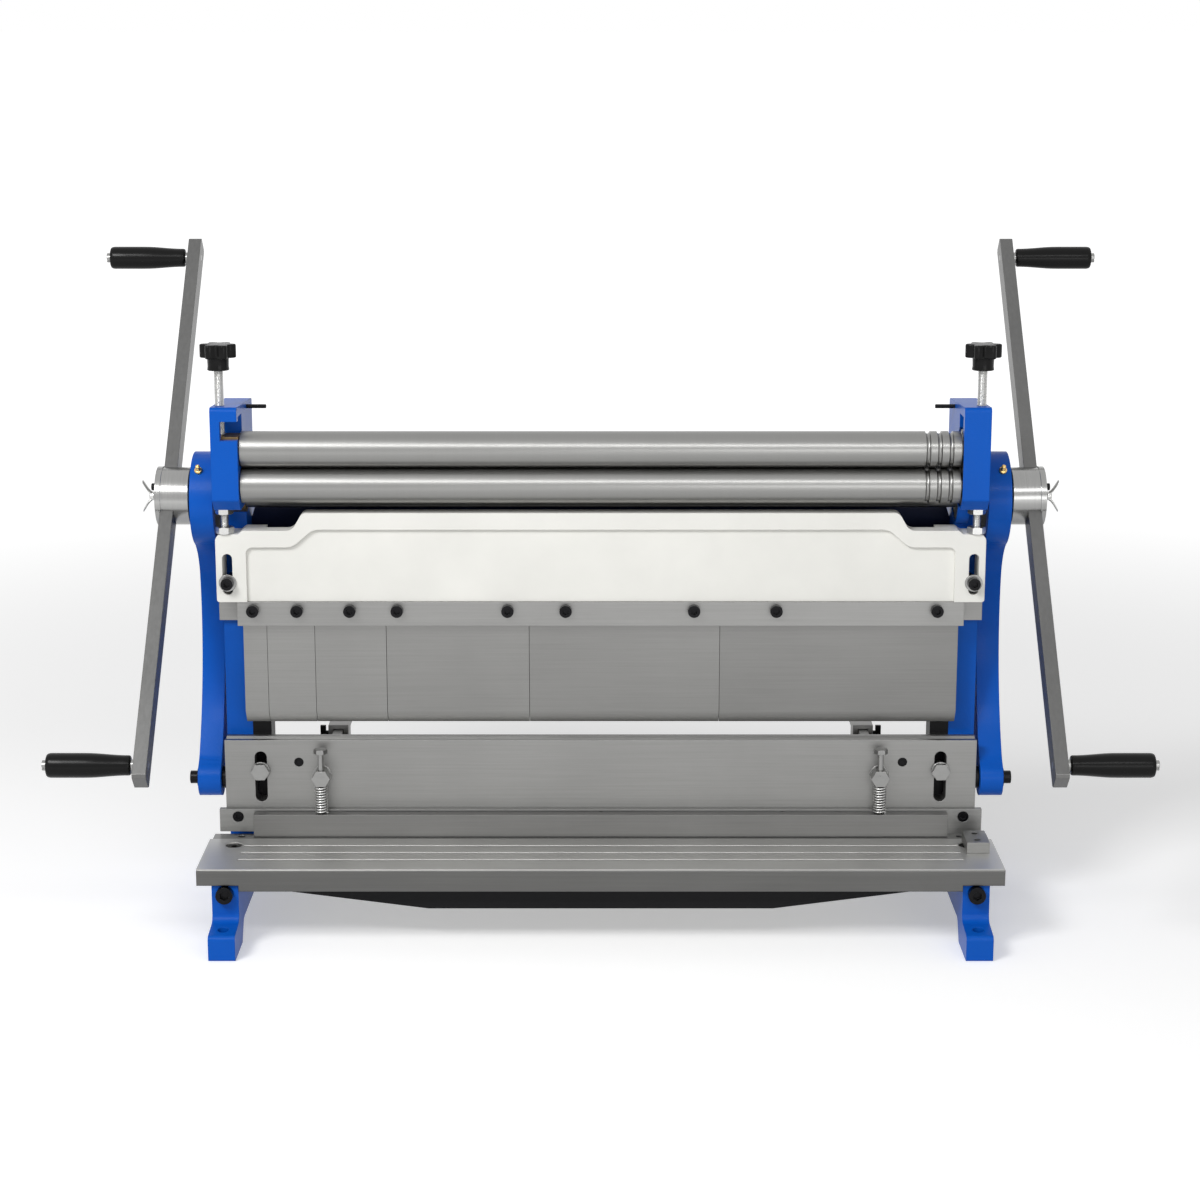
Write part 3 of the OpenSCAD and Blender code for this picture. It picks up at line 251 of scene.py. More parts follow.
blue_enamel = enamel("blue_enamel", (0.0025, 0.09, 0.47), roughness=0.34,
                     grain=260, depth=0.0005, edge=0.0012)
for side in ("left", "right"):
    soften(side + "_side_frame", width=0.0018, segments=3, material=blue_enamel,
           body="frame", fall=0.062)


# Connecting arms.
# Cast iron straps with a ring round the eccentric above and an eye round the beam's pin
# below, in the same blue as the frames, their edges cast round.
def neck_web(inner_face, centre, radius, start, end, root):
    """A prism that fills the corner between ring and strap with a hollow curve.

    The curve runs from start to end round its centre, and root lies inside the casting.
    These points are (y, z).
    """
    thickness, steps = 0.0245, 12
    first = math.atan2(start[1] - centre[1], start[0] - centre[0])
    sweep = math.atan2(end[1] - centre[1], end[0] - centre[0]) - first
    sweep -= 2 * math.pi * round(sweep / (2 * math.pi))
    outline = [(centre[0] + radius * math.cos(first + sweep * i / steps),
                centre[1] + radius * math.sin(first + sweep * i / steps)) for i in range(steps + 1)]
    outline.append(root)
    bpy.ops.object.select_all(action="DESELECT")
    bpy.ops.mesh.primitive_plane_add(size=0.001)
    web = bpy.context.object
    bpy.ops.object.mode_set(mode="EDIT")
    bpy.ops.mesh.merge(type="CENTER")
    bpy.ops.mesh.select_all(action="SELECT")
    bpy.ops.transform.translate(value=(inner_face, outline[0][0], outline[0][1]))
    for before, after in zip(outline, outline[1:]):
        step = (0, after[0] - before[0], after[1] - before[1])
        bpy.ops.mesh.extrude_region_move(TRANSFORM_OT_translate={"value": step})
    bpy.ops.mesh.select_all(action="SELECT")
    bpy.ops.mesh.edge_face_add()
    bpy.ops.mesh.extrude_region_move(TRANSFORM_OT_translate={"value": (thickness, 0, 0)})
    bpy.ops.mesh.select_all(action="SELECT")
    bpy.ops.mesh.normals_make_consistent(inside=False)
    bpy.ops.object.mode_set(mode="OBJECT")
    return web


under_ring = dict(centre=(-0.01813, 0.34769), radius=0.0603,
                  start=(0.00862, 0.40139), end=(0.04139, 0.3553), root=(0.045, 0.405))
behind_ring = dict(centre=(0.10826, 0.40015), radius=0.0403,
                   start=(0.06938, 0.39075), end=(0.07388, 0.42059), root=(0.05, 0.41))
over_eye = dict(centre=(-0.05231, 0.2107), radius=0.0603,
                start=(-0.01702, 0.16218), end=(-0.00334, 0.17603), root=(0, 0.16))
for side, inner_face in (("left", -0.4335), ("right", 0.409)):
    webs = [neck_web(inner_face, **corner) for corner in (under_ring, behind_ring, over_eye)]
    soften(side + "_arm", width=0.0018, segments=3, material=blue_enamel,
           body=side + "_arm", added=webs)


# Cross panel.
# A sheet steel panel that ties the two housings together behind the rolls. Its blue enamel is
# coloured dark navy as painted shade, for where it lies behind the rolls and the beam.
# Dark navy here is painted shade over the panel's blue.
painted_shade_navy_enamel = enamel("painted_shade_navy_enamel", (0.006, 0.012, 0.045), roughness=0.4,
                     grain=300, depth=0.0003, edge=0.001)
dress(painted_shade_navy_enamel, "cross_panel")


# Upper beam.
# A stepped iron casting with a raised rim round a sunken front panel, open below. All
# its edges are cast round and it is finished in thick cream enamel.
cream_enamel = enamel("cream_enamel", (0.79, 0.785, 0.745), roughness=0.38,
                      grain=220, depth=0.0002, edge=0.001)
soften("upper_beam", width=0.0022, segments=4, material=cream_enamel,
       body="frame")


# Clamp bar, ledge bar, moving beam and back gauge.
# Mild steel bar, ground flat with the stone's lines running across the machine, oiled
# and slightly clouded by handling.
def ground_steel(name, colour, roughness, stretch, contrast, edge, relief=0.25):
    steel = bpy.data.materials.new(name)
    steel.use_nodes = True
    nodes, links = steel.node_tree.nodes, steel.node_tree.links
    shader = nodes["Principled BSDF"]
    shader.inputs["Metallic"].default_value = 1
    place = nodes.new("ShaderNodeTexCoord")
    along = nodes.new("ShaderNodeMapping")
    along.inputs["Scale"].default_value = stretch
    lines = nodes.new("ShaderNodeTexNoise")
    lines.inputs["Scale"].default_value = 1
    lines.inputs["Detail"].default_value = 6
    lines.inputs["Roughness"].default_value = 0.7
    cloud = nodes.new("ShaderNodeTexNoise")
    cloud.inputs["Scale"].default_value = 9
    cloud.inputs["Detail"].default_value = 5
    mixed = nodes.new("ShaderNodeMath")
    mixed.operation = "MULTIPLY_ADD"
    mixed.inputs[1].default_value = 0.6
    shade = nodes.new("ShaderNodeValToRGB")
    shade.color_ramp.elements[0].position = 0.45
    shade.color_ramp.elements[0].color = [c * (1 - contrast) for c in colour] + [1]
    shade.color_ramp.elements[1].position = 1.05
    shade.color_ramp.elements[1].color = [min(1, c * (1 + contrast)) for c in colour] + [1]
    dull = nodes.new("ShaderNodeMapRange")
    dull.inputs["From Min"].default_value = 0.3
    dull.inputs["From Max"].default_value = 1.2
    dull.inputs["To Min"].default_value = roughness - 0.5 * contrast
    dull.inputs["To Max"].default_value = roughness + 0.9 * contrast
    bevel = nodes.new("ShaderNodeBevel")
    bevel.samples = 6
    bevel.inputs["Radius"].default_value = edge
    bump = nodes.new("ShaderNodeBump")
    bump.inputs["Strength"].default_value = relief
    bump.inputs["Distance"].default_value = 0.00008
    links.new(place.outputs["Object"], along.inputs["Vector"])
    links.new(along.outputs["Vector"], lines.inputs["Vector"])
    links.new(place.outputs["Object"], cloud.inputs["Vector"])
    links.new(cloud.outputs["Fac"], mixed.inputs[0])
    links.new(lines.outputs["Fac"], mixed.inputs[2])
    links.new(mixed.outputs[0], shade.inputs["Fac"])
    links.new(mixed.outputs[0], dull.inputs["Value"])
    links.new(shade.outputs["Color"], shader.inputs["Base Color"])
    links.new(dull.outputs["Result"], shader.inputs["Roughness"])
    links.new(lines.outputs["Fac"], bump.inputs["Height"])
    if edge:
        links.new(bevel.outputs["Normal"], bump.inputs["Normal"])
    links.new(bump.outputs["Normal"], shader.inputs["Normal"])
    return steel


flat_steel = ground_steel("ground_flat_steel", (0.262, 0.261, 0.255), roughness=0.42,
                          stretch=(7, 500, 500), contrast=0.1, edge=0.0006)
for node, body in (("back_ledge_bar", "frame"), ("clamp_bar", "frame"),
                   ("bend_beam", "moving_beam"), ("gauge_bars", "moving_beam"),
                   ("back_gauge", "gauge")):
    soften(node, width=0.0005, segments=2, material=flat_steel, body=body)


# Bending fingers.
# Six hard fingers in copies of one ground steel, each a step darker from the 1-inch to the
# 10-inch one: painted shade for the light falling off along the row.
finger_grey = (0.268, 0.267, 0.26)
# The share of the grey each finger keeps; its steps are painted shade.
for inches, painted_light_share in ((1, 0.95), (2, 0.95), (3, 0.92), (6, 0.88), (8, 0.84), (10, 0.78)):
    finger_steel = ground_steel("finger_steel_%d" % inches, [c * painted_light_share for c in finger_grey],
                                roughness=0.42, stretch=(7, 500, 500), contrast=0.1, edge=0.0003)
    soften("finger_%din" % inches, width=0.0003, segments=2, material=finger_steel,
           body="frame")


# Table.
# A planed plate. Its top is ground bright, and its front face below a ground chamfer is
# painted dark: painted shade for the dimmer surroundings it reflects.
# Where the front face's painted shade begins and where it is full, along y.
front_shade_start, front_shade_full = -0.1459, -0.1467
table_steel = ground_steel("table_steel", (0.5, 0.498, 0.485), roughness=0.4,
                           stretch=(7, 500, 500), contrast=0.1, edge=0.0012)
nodes, links = table_steel.node_tree.nodes, table_steel.node_tree.links
place = nodes.new("ShaderNodeTexCoord")
axes = nodes.new("ShaderNodeSeparateXYZ")
front = nodes.new("ShaderNodeMapRange")
front.inputs["From Min"].default_value = front_shade_start
front.inputs["From Max"].default_value = front_shade_full
# Multiplies the front face's colour by a quarter: painted shade.
skin_grain_and_front_shade = nodes.new("ShaderNodeMix")
skin_grain_and_front_shade.data_type = "RGBA"
skin_grain_and_front_shade.blend_type = "MULTIPLY"
skin_grain_and_front_shade.inputs["B"].default_value = (0.25, 0.25, 0.25, 1)
shade = nodes["Color Ramp"].outputs["Color"]
links.new(place.outputs["Object"], axes.inputs[0])
links.new(axes.outputs["Y"], front.inputs["Value"])
links.new(front.outputs["Result"], skin_grain_and_front_shade.inputs["Factor"])
links.new(shade, skin_grain_and_front_shade.inputs["A"])
links.new(skin_grain_and_front_shade.outputs["Result"], nodes["Principled BSDF"].inputs["Base Color"])
soften("table", width=0.0006, segments=2, material=table_steel, body="frame")


# Shear blades, hold-down bar and side guide.
# Blades and guide are hardened tool steel, ground smoother than the bars they are screwed
# to. The hold-down bar is drawn bar, a little darker.
blade_steel = ground_steel("ground_blade_steel", (0.25, 0.25, 0.245), roughness=0.36,
                           stretch=(9, 500, 500), contrast=0.1, edge=0.0005)
hold_down_steel = ground_steel("drawn_hold_down_steel", (0.185, 0.184, 0.18), roughness=0.4,
                               stretch=(9, 500, 500), contrast=0.12, edge=0.0005)
for node, body, steel in (("lower_blade", "frame", blade_steel),
                          ("upper_blade", "moving_beam", blade_steel),
                          ("hold_down_bar", "hold_down", hold_down_steel),
                          ("side_guide_block", "frame", blade_steel)):
    soften(node, width=0.0004, segments=2, material=steel, body=body)


# Rolls, shaft and tie rods.
# Round bar turned between centres and polished with cloth, so the finest lines run
# round it.
turned_steel = ground_steel("turned_roll_steel", (0.27, 0.269, 0.262), roughness=0.3,
                            stretch=(400, 12, 12), contrast=0.02, edge=0, relief=0)
dress(turned_steel, "lower_roll", "upper_roll", "rear_roll", "drive_shaft", "tie_rods")


# Gears, eccentrics and bushes.
# Cast iron, machined dark and grey, with turned bronze bushes and bearing blocks.
gear_iron = ground_steel("machined_gear_iron", (0.2, 0.2, 0.2), roughness=0.42,
                         stretch=(300, 60, 60), contrast=0.2, edge=0.0004)
dress(gear_iron, "drive_gear", "eccentrics")
bronze = ground_steel("bearing_bronze", (0.22, 0.15, 0.07), roughness=0.42,
                      stretch=(900, 20, 20), contrast=0.15, edge=0.0004)
dress(bronze, "shaft_bushes", "upper_roll_blocks", "rear_roll_blocks")


# Hubs and bright bolts.
# Mild steel with a thin bright zinc plate, faintly mottled. The hubs show the fine lines
# of the lathe under theirs.
zinc = ground_steel("zinc_plate", (0.28, 0.28, 0.275), roughness=0.27,
                    stretch=(60, 60, 60), contrast=0.12, edge=0.0006)
fresh_zinc = ground_steel("fresh_zinc_plate", (0.56, 0.56, 0.55), roughness=0.25,
                          stretch=(60, 60, 60), contrast=0.12, edge=0.0004)
soften("grip_bolts", width=0.0004, segments=3, material=zinc, body="drive")
hub_steel = ground_steel("turned_hub_steel", (0.32, 0.32, 0.315), roughness=0.17,
                         stretch=(1200, 20, 20), contrast=0.1, edge=0, relief=0.06)
for side in ("left", "right"):
    soften(side + "_hub", width=0.0008, segments=3, material=hub_steel,
           body="drive")


# Crank bars.
# Cold drawn flat bar, greyer than the hubs, with the drawing lines along its length.
drawn_bar = ground_steel("drawn_bar_steel", (0.145, 0.145, 0.143), roughness=0.36,
                         stretch=(350, 120, 120), contrast=0.1, edge=0.001)
for side in ("left", "right"):
    soften(side + "_crank_bar", width=0.0008, segments=3, material=drawn_bar,
           body="drive")


# Socket screws, arm pins, beam guides and the table's rib.
# Steel with an oiled black oxide skin, which takes a low shine on its edges.
black_oxide = enamel("black_oxide", (0.008, 0.008, 0.009), roughness=0.4,
                     grain=500, depth=0.0002, edge=0.0006)
dress(black_oxide, "beam_guides", "gauge_wing_screws")
soften("table_stiffener", width=0.0008, segments=2, material=black_oxide,
       body="frame")
oiled_screws = ground_steel("oiled_black_screws", (0.014, 0.014, 0.015), roughness=0.24,
                            stretch=(90, 90, 90), contrast=0.25, edge=0.0004)
for node, body in (("table_screws", "frame"), ("beam_bolts", "frame"), ("clamp_screws", "frame"),
                   ("blade_screws", "moving_beam"), ("arm_pins", "moving_beam")):
    soften(node, width=0.0005, segments=2, material=oiled_screws, body=body)


# Retaining pins of the bearing blocks.
# Short black spring pins that stand out of the inner faces of the housings near the
# top, driven into drilled holes.
def turned(name, profile, place, turn, steps):
    """Spins a profile of (radius, height) points about an upright axis and sets it in place."""
    bpy.ops.object.select_all(action="DESELECT")
    bpy.ops.mesh.primitive_plane_add(size=0.001)
    piece = bpy.context.object
    piece.name = name
    bpy.ops.object.mode_set(mode="EDIT")
    bpy.ops.mesh.merge(type="CENTER")
    bpy.ops.mesh.select_all(action="SELECT")
    bpy.ops.transform.translate(value=(profile[0][0], 0, profile[0][1]))
    for before, after in zip(profile, profile[1:]):
        step = (after[0] - before[0], 0, after[1] - before[1])
        bpy.ops.mesh.extrude_region_move(TRANSFORM_OT_translate={"value": step})
    bpy.ops.mesh.select_all(action="SELECT")
    bpy.ops.mesh.spin(steps=steps, angle=2 * math.pi, center=(0, 0, 0), axis=(0, 0, 1))
    bpy.ops.mesh.select_all(action="SELECT")
    bpy.ops.mesh.remove_doubles(threshold=0.000002)
    bpy.ops.mesh.normals_make_consistent(inside=False)
    bpy.ops.object.mode_set(mode="OBJECT")
    settle(piece, place, turn)
    return piece


def settle(piece, place, turn):
    """Turns a piece, sets it in place and leaves both in its mesh."""
    piece.rotation_euler = turn
    piece.location = place
    bpy.ops.object.select_all(action="DESELECT")
    piece.select_set(True)
    bpy.context.view_layer.objects.active = piece
    bpy.ops.object.transform_apply(location=True, rotation=True, scale=True)
    bpy.ops.object.shade_smooth_by_angle(angle=math.radians(35))


def finish(piece, material, body):
    piece.data.materials.clear()
    piece.data.materials.append(material)
    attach(piece, body)


both_sides = (("left", -1), ("right", 1))
housing_face = 0.3765
for side, way in both_sides:
    pin = turned(side + "_retaining_pin",
                 [(0, -0.021), (0.0016, -0.021), (0.0022, -0.0203), (0.0022, 0), (0, 0)],
                 (way * housing_face, 0.03, 0.5455), (0, way * math.pi / 2, 0), steps=20)
    finish(pin, black_oxide, "frame")


# Grease nipples.
# Small brass nipples with a collar and a ball end, screwed into the front of each
# connecting arm's ring.
brass = ground_steel("nipple_brass", (0.72, 0.5, 0.2), roughness=0.25,
                     stretch=(200, 200, 200), contrast=0.12, edge=0.0002)
arm_middle = 0.4245
nipple_profile = [(0, -0.001), (0.0042, -0.001), (0.0042, 0.0022), (0.0036, 0.0028),
                  (0.0026, 0.0032), (0.0022, 0.0052), (0.0017, 0.0058), (0.0019, 0.0066),
                  (0.0025, 0.0075), (0.0024, 0.0086), (0.0015, 0.0094), (0.0006, 0.0096),
                  (0, 0.0092)]
for side, way in both_sides:
    nipple = turned(side + "_grease_nipple", nipple_profile,
                    (way * arm_middle, -0.00445, 0.48151), (math.radians(45), 0, 0), steps=24)
    finish(nipple, brass, side + "_arm")


# Hub screws.
# A black socket screw in the outer face of each crank hub, which locks the hub on its
# shaft.
hub_face = 0.47
hub_screw_profile = [(0, 0.0022), (0.0017, 0.0022), (0.0019, 0.0048), (0.0034, 0.0048),
                     (0.0038, 0.0044), (0.0038, -0.0005), (0, -0.0005)]
for side, way in both_sides:
    screw = turned(side + "_hub_screw", hub_screw_profile,
                   (way * hub_face, -0.003, 0.4645), (0, way * math.pi / 2, 0), steps=24)
    finish(screw, black_oxide, "drive")


# Star knobs and their screws.
# Six-lobed black phenolic knobs moulded on zinc plated screws. Two press the upper
# roll down, two push the rear roll forward.
black_phenolic = enamel("black_phenolic", (0.006, 0.006, 0.006), roughness=0.24,
                        grain=700, depth=0.00015, edge=0.0008)


def star_knob(name, place, turn):
    """A round disc whose rim is pushed out into six lobes, its top sunk in two steps."""
    reach, height, lobes, swing, sharpness = 0.0152, 0.011, 6, 0.1, 0.18
    bpy.ops.object.select_all(action="DESELECT")
    bpy.ops.mesh.primitive_cylinder_add(vertices=96, radius=reach, depth=height,
                                        location=(0, 0, height / 2))
    knob = bpy.context.object
    knob.name = name
    bpy.ops.object.transform_apply(location=True)
    bpy.ops.object.mode_set(mode="EDIT")
    bpy.ops.mesh.select_all(action="DESELECT")
    bpy.ops.mesh.select_face_by_sides(number=4, type="GREATER")
    bpy.ops.mesh.inset(thickness=0.0035, depth=0.0011)
    bpy.ops.mesh.inset(thickness=0.005, depth=0.0006)
    bpy.ops.object.mode_set(mode="OBJECT")
    for vertex in knob.data.vertices:
        x, y, z = vertex.co
        radius = math.hypot(x, y)
        lobe = math.cos(lobes * math.atan2(y, x))
        wave = 1 + swing * (radius / reach) ** 2 * (lobe - sharpness * (1 - lobe) ** 2)
        vertex.co.x, vertex.co.y = x * wave, y * wave
    soft = knob.modifiers.new("moulded_edges", "BEVEL")
    soft.width = 0.0016
    soft.segments = 4
    soft.limit_method = "ANGLE"
    soft.angle_limit = math.radians(60)
    bpy.ops.object.modifier_apply(modifier=soft.name)
    settle(knob, place, turn)
    return knob


def ridges(first, last, pitch, crest, root, heights):
    """The profile points of a thread: two at its crest and one at its root per turn."""
    points = []
    height = first
    while height < last:
        points += [(crest, height + heights[0]), (crest, height + heights[1]),
                   (root, height + heights[2])]
        height += pitch
    return points


def knob_set(name, body, node, seat, turn, screw_end, grip_start):
    """A knob, its neck and its threaded screw, all on one axis from the bearing block."""
    def along(distance):
        if turn[0] == 0:
            return (seat[0], seat[1], seat[2] + distance)
        return (seat[0], seat[1] + distance, seat[2])

    neck_height, screw_in_knob = 0.0145, 0.005
    knob = star_knob(name + "_knob", along(grip_start + neck_height), turn)
    neck = turned(name + "_knob_neck",
                  [(0, 0.0155), (0.0122, 0.0155), (0.0113, 0.0125), (0.011, 0.004),
                   (0.0115, 0.0006), (0.0111, 0), (0.0052, 0), (0.0052, 0.003), (0, 0.003)],
                  along(grip_start), turn, steps=48)
    thread = [(0, -screw_end), (0.0033, -screw_end), (0.0035, -screw_end + 0.0003),
              (0.0035, 0.0003), (0.0043, 0.0005)]
    thread += ridges(0.001, grip_start + 0.002, pitch=0.0015, crest=0.00495, root=0.0042,
                     heights=(0.0004, 0.0007, 0.0013))
    thread += [(0.0042, grip_start + screw_in_knob), (0, grip_start + screw_in_knob)]
    screw = turned(name + "_screw", thread, seat, turn, steps=32)
    for piece, material, slot in ((knob, black_phenolic, "black_plastic"),
                                  (neck, black_phenolic, "black_plastic"),
                                  (screw, fresh_zinc, "zinc_plate")):
        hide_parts(node)
        finish(piece, material, body)


knob_x = 0.397
upright, facing_back = (0, 0, 0), (-math.pi / 2, 0, 0)
for side, way in both_sides:
    knob_set(side + "_adjusting", body=side + "_knob", node=side + "_adjusting_knob",
             seat=(way * knob_x, -0.026, 0.5236), turn=upright,
             screw_end=0.0037, grip_start=0.0684)
    knob_set(side + "_rear", body="rear_knob_" + side, node=side + "_rear_knob",
             seat=(way * knob_x, 0.038, 0.488), turn=facing_back,
             screw_end=0.0017, grip_start=0.047)


# Guide bolts of the moving beam.
# Zinc plated hexagon bolts with a thick washer, screwed into the side frames through
# the beam's upright slots.
def hexagon_head(name, across_flats, height, place, turn, both_ends=False):
    """A hexagon whose corners are cut back by the 30 degree cone of a turned head.

    Shares of its inner radius: the sloping rim, the flat face within it, and where the
    outer ring's vertices begin.
    """
    flat = across_flats / 2
    rim, face, outer = 0.05, 0.95, 0.99
    bpy.ops.object.select_all(action="DESELECT")
    bpy.ops.mesh.primitive_cylinder_add(vertices=72, radius=flat, depth=height,
                                        location=(0, 0, height / 2))
    head = bpy.context.object
    head.name = name
    bpy.ops.object.transform_apply(location=True)
    bpy.ops.object.mode_set(mode="EDIT")
    bpy.ops.mesh.select_all(action="DESELECT")
    bpy.ops.mesh.select_face_by_sides(number=4, type="GREATER")
    bpy.ops.mesh.inset(thickness=flat * rim)
    bpy.ops.object.mode_set(mode="OBJECT")
    for vertex in head.data.vertices:
        x, y, z = vertex.co
        radius = math.hypot(x, y)
        if radius > flat * outer:
            sector = math.atan2(y, x) % (math.pi / 3) - math.pi / 6
            corner = flat / math.cos(sector)
            vertex.co.x, vertex.co.y = x * corner / radius, y * corner / radius
            fall = (corner - flat * face) * math.tan(math.pi / 6)
            if z > height / 2:
                vertex.co.z = height - fall
            elif both_ends:
                vertex.co.z = fall
    settle(head, place, turn)
    return head


guide_bolt_x, guide_bolt_z = 0.366, 0.157
facing_front = (math.pi / 2, 0, 0)
washer_profile = [(0.00495, -0.0464), (0.00495, -0.0003), (0.0096, 0), (0.01, 0.0004),
                  (0.01, 0.0026), (0.0096, 0.003), (0, 0.003), (0, -0.0464), (0.00495, -0.0464)]
for side, way in both_sides:
    bolt_head = hexagon_head(side + "_guide_bolt_head", across_flats=0.017, height=0.007,
                             place=(way * guide_bolt_x, -0.0213, guide_bolt_z), turn=facing_front)
    washer = turned(side + "_guide_bolt_washer", washer_profile,
                    (way * guide_bolt_x, -0.0183, guide_bolt_z), facing_front, steps=48)
    for piece in (bolt_head, washer):
        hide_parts("guide_bolts")
        finish(piece, zinc, "frame")


# Washers of the upper beam's bolts.
# Plain zinc plated rings under the black socket screws, bright against the cream enamel.
beam_washer_profile = [(0.0064, 0), (0.0092, 0), (0.0092, 0.0019), (0.0089, 0.0022),
                       (0.0064, 0.0022), (0.0064, 0)]
for side, way in both_sides:
    washer = turned(side + "_beam_washer", beam_washer_profile,
                    (way * 0.394, -0.028, 0.366), facing_front, steps=48)
    finish(washer, zinc, "frame")


# Wing bolts.
# A zinc plated screw in the end of the shaft on each side, with two thin pressed wings
# swept outwards. It clamps the crank bar in its hub.
wing_x, wing_half_gap = 0.4762, 0.0024
stem_profile = [(0, -0.014), (0.00395, -0.014), (0.00395, -0.0002), (0.0027, 0.0003),
                (0.0027, 0.004), (0.0042, 0.0045), (0.0046, 0.0052), (0.0043, 0.0084),
                (0.003, 0.0098), (0, 0.0102)]
for side, way in both_sides:
    boss = turned(side + "_wing_bolt", stem_profile,
                  (hub_face, 0, 0), (0, math.pi / 2, 0), steps=40)
    horns = []
    for rise in (-1, 1):
        wing_root = (wing_x, 0, rise * wing_half_gap)
        bpy.ops.object.select_all(action="DESELECT")
        bpy.ops.mesh.primitive_circle_add(vertices=20, radius=0.0019, fill_type="NGON",
                                          location=wing_root, rotation=(0, math.pi / 2, 0))
        horn = bpy.context.object
        bpy.ops.object.transform_apply(location=True, rotation=True)
        bpy.ops.object.mode_set(mode="EDIT")
        bpy.ops.mesh.select_all(action="SELECT")
        bpy.ops.transform.resize(value=(1, 1.7, 1.1), center_override=wing_root)
        for run, climb, spread, thin in ((0.0024, 0.0016, 1.1, 1), (0.0028, 0.0032, 1.25, 1.1),
                                         (0.0026, 0.0042, 1.15, 1), (0.0022, 0.0034, 0.95, 0.9),
                                         (0.0006, 0.0011, 0.6, 0.6)):
            step = (run, 0, rise * climb)
            bpy.ops.mesh.extrude_region_move(TRANSFORM_OT_translate={"value": step})
            bpy.ops.transform.resize(value=(1, spread, thin))
        bpy.ops.mesh.select_all(action="SELECT")
        bpy.ops.mesh.normals_make_consistent(inside=False)
        bpy.ops.object.mode_set(mode="OBJECT")
        horns.append(horn)
    bpy.ops.object.select_all(action="DESELECT")
    for part in horns + [boss]:
        part.select_set(True)
    bpy.context.view_layer.objects.active = boss
    bpy.ops.object.join()
    settle(boss, (0, 0.01178, 0.452), (0, 0, 0 if way > 0 else math.pi))
    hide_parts(side + "_wing_bolt")
    finish(boss, fresh_zinc, side + "_wing")


# Dark discs in the holes of the beam's face.
# A black disc with a shallow socket, shaped like a set screw's end, sits a little way into a
# hole of the beam's face on each side. Its black is painted shade for the hole's dark depth.
hole_shade_disc_profile = [(0.0049, 0.0016), (0.0049, 0.0009), (0.0044, 0.0006), (0.0031, 0.0006),
                     (0.0027, 0.0014), (0, 0.0015)]
# Each disc is black as painted shade for the depth of its hole.
for side, way in both_sides:
    hole_shade_disc = turned(side + "_gauge_hole_shade_disc", hole_shade_disc_profile,
                       (way * 0.325, -0.0178, 0.166), facing_back, steps=24)
    finish(hole_shade_disc, black_oxide, "moving_beam")


# Levelling bolts.
# A hexagon bolt between each end of the upper beam and the housing above it, locked by
# a nut on the beam's lug. Screwed in or out, they set the beam's height.
lug_top, head_top = 0.418, 0.446
for side, way in both_sides:
    x, y = way * 0.396, -0.022
    top = hexagon_head(side + "_levelling_head", across_flats=0.017, height=0.007,
                       place=(x, y, head_top), turn=(math.pi, 0, 0))
    nut = hexagon_head(side + "_levelling_nut", across_flats=0.017, height=0.008,
                       place=(x, y, lug_top), turn=upright, both_ends=True)
    thread = [(0, -0.017), (0.0042, -0.017), (0.0042, 0.0005)]
    thread += ridges(0.001, 0.0205, pitch=0.0014, crest=0.0044, root=0.00375,
                     heights=(0.0004, 0.0006, 0.0012))
    thread += [(0.0042, 0.0215), (0, 0.0215)]
    shank = turned(side + "_levelling_thread", thread, (x, y, lug_top), upright, steps=32)
    for piece in (top, nut, shank):
        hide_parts("jack_bolts")
        finish(piece, fresh_zinc, "frame")
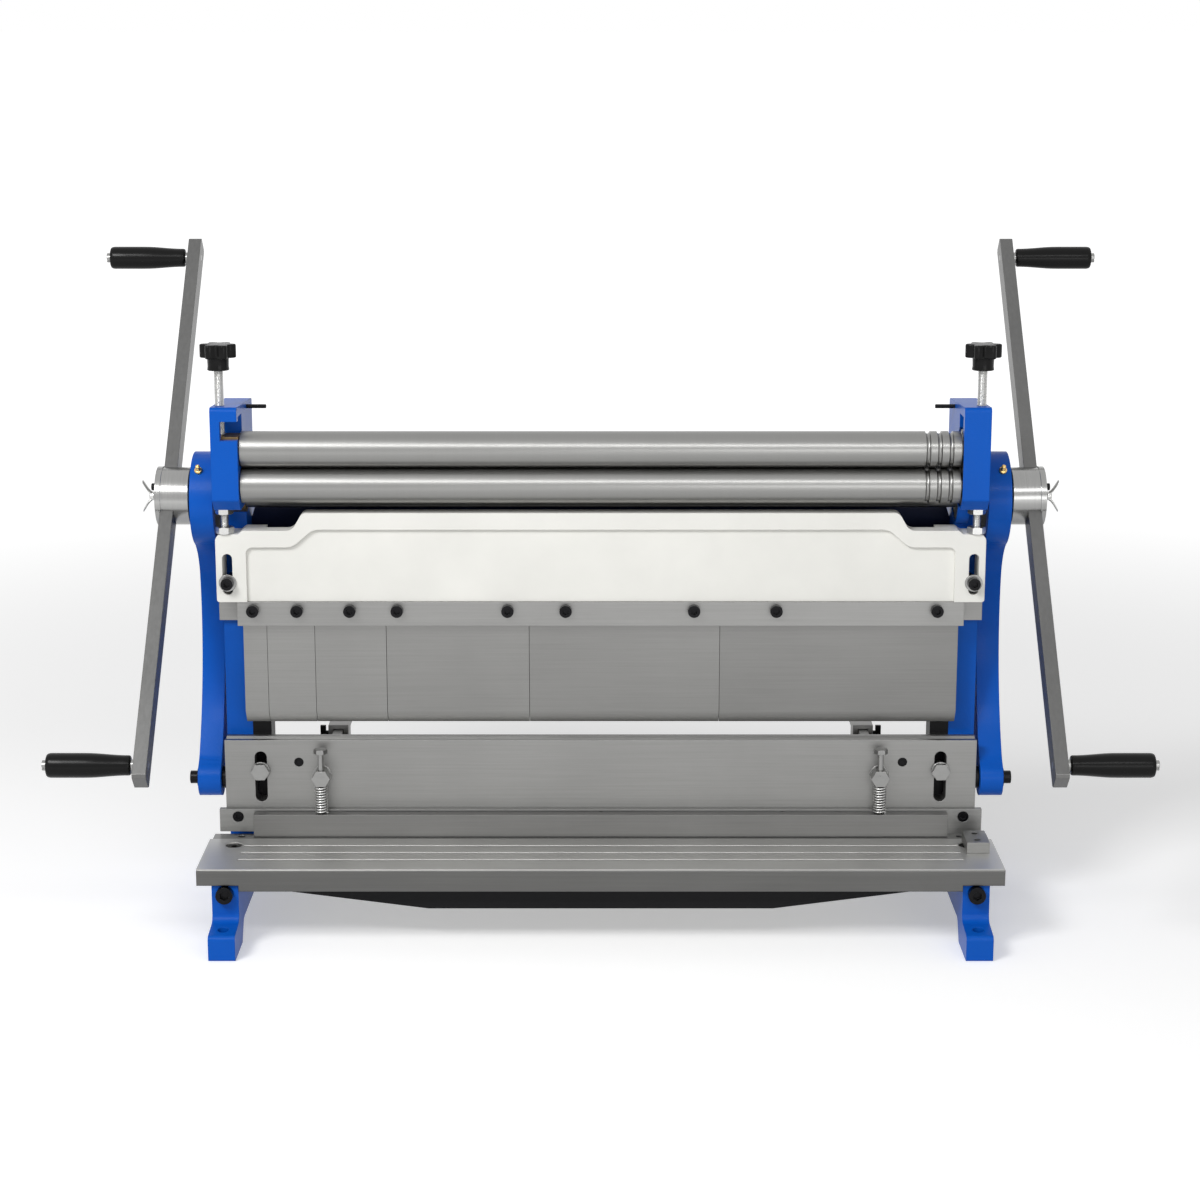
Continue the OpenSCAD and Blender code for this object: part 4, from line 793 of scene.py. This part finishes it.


# Hold-down bolts and their springs.
# Each bolt slides in a cross-drilled hexagon stud on the beam and is screwed into the
# hold-down bar. A spring of hard wire between stud and bar presses the bar down.
# The thread inside the spring is coloured near black: painted shade between the coils.
shadowed_thread = ground_steel("thread_in_painted_shade", (0.05, 0.045, 0.042), roughness=0.45,
                               stretch=(90, 90, 90), contrast=0.2, edge=0.0003)
beam_face, stud_z = -0.018, 0.1525
bolt_top, bar_top, stud_bottom = 0.18, 0.113, 0.1437
wire, coil_radius, turns, pitch = 0.0009, 0.0061, 10, 0.00289
for side, way in both_sides:
    x, y = way * 0.3, -0.0325
    stud = hexagon_head(side + "_hold_down_stud", across_flats=0.0172, height=0.0205,
                        place=(x, beam_face, stud_z), turn=facing_front)
    bpy.ops.object.select_all(action="DESELECT")
    bpy.ops.mesh.primitive_cylinder_add(vertices=32, radius=0.0032, depth=0.03,
                                        location=(x, y, stud_z))
    drill = bpy.context.object
    cross_hole = stud.modifiers.new("cross_hole", "BOOLEAN")
    cross_hole.operation = "DIFFERENCE"
    cross_hole.solver = "EXACT"
    cross_hole.object = drill
    bpy.context.view_layer.objects.active = stud
    bpy.ops.object.modifier_apply(modifier=cross_hole.name)
    bpy.data.objects.remove(drill)
    collar = turned(side + "_hold_down_collar",
                    [(0, -0.0002), (0.0104, -0.0002), (0.0104, 0.0014), (0.01, 0.0018),
                     (0, 0.0018)],
                    (x, beam_face, stud_z), facing_front, steps=48)
    for piece in (stud, collar):
        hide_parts("hold_down_studs")
        finish(piece, zinc, "moving_beam")
    head = hexagon_head(side + "_hold_down_head", across_flats=0.013, height=0.005,
                        place=(x, y, bolt_top), turn=upright)
    shank = turned(side + "_hold_down_shank",
                   [(0, -0.03), (0.00295, -0.03), (0.00295, 0.0005), (0, 0.0005)],
                   (x, y, bolt_top), upright, steps=32)
    thread = [(0, -0.0855), (0.00295, -0.0855)]
    thread += ridges(-0.069, -0.031, pitch=0.001, crest=0.00295, root=0.0025,
                     heights=(0.0003, 0.0005, 0.0009))
    thread += [(0.00295, -0.03), (0, -0.03)]
    screwed = turned(side + "_hold_down_thread", thread, (x, y, bolt_top), upright, steps=32)
    for piece, material in ((head, zinc), (shank, zinc), (screwed, shadowed_thread)):
        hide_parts("hold_down_bolts")
        finish(piece, material, "hold_down")
    bpy.ops.object.select_all(action="DESELECT")
    bpy.ops.mesh.primitive_circle_add(vertices=14, radius=wire, fill_type="NOTHING",
                                      location=(coil_radius, 0, wire), rotation=facing_front)
    spring = bpy.context.object
    spring.name = side + "_hold_down_spring"
    bpy.ops.object.transform_apply(location=True, rotation=True)
    coil = spring.modifiers.new("coil", "SCREW")
    coil.angle = 2 * math.pi
    coil.iterations = turns
    coil.screw_offset = pitch
    coil.steps = coil.render_steps = 32
    coil.use_merge_vertices = False
    bpy.ops.object.modifier_apply(modifier=coil.name)
    bpy.ops.object.mode_set(mode="EDIT")
    bpy.ops.mesh.select_all(action="SELECT")
    bpy.ops.mesh.fill_holes(sides=0)
    bpy.ops.mesh.select_all(action="SELECT")
    bpy.ops.mesh.normals_make_consistent(inside=False)
    bpy.ops.object.mode_set(mode="OBJECT")
    settle(spring, (x, y, bar_top), upright)
    spring.data.materials.clear()
    spring.data.materials.append(fresh_zinc)
    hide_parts("hold_down_springs")
    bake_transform(spring)


# Hand grips.
# Black moulded grips that turn on shouldered bolts, slim at the bar and fuller towards
# the rounded end, which runs under the bolt's slotted head.
bar_outer_face = 0.469
grip_profile = [(0.00406, 0), (0.0088, 0), (0.0098, 0.0006), (0.0102, 0.0018), (0.0102, 0.006),
                (0.0105, 0.013), (0.011, 0.02), (0.01165, 0.028), (0.0121, 0.034),
                (0.0124, 0.04), (0.0125, 0.048), (0.0125, 0.066), (0.0125, 0.0795),
                (0.0121, 0.0818), (0.0112, 0.0833), (0.0096, 0.084), (0.00406, 0.084),
                (0.00406, 0)]
for side, way in both_sides:
    for level, y, z in (("upper", 0.242294, 0.682517), ("lower", -0.21874, 0.221483)):
        grip = turned(side + "_" + level + "_moulded_grip", grip_profile,
                      (way * bar_outer_face, y, z), (0, way * math.pi / 2, 0), steps=64)
        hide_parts(side + "_" + level + "_grip")
        finish(grip, black_phenolic, "grip_" + side + "_" + level)
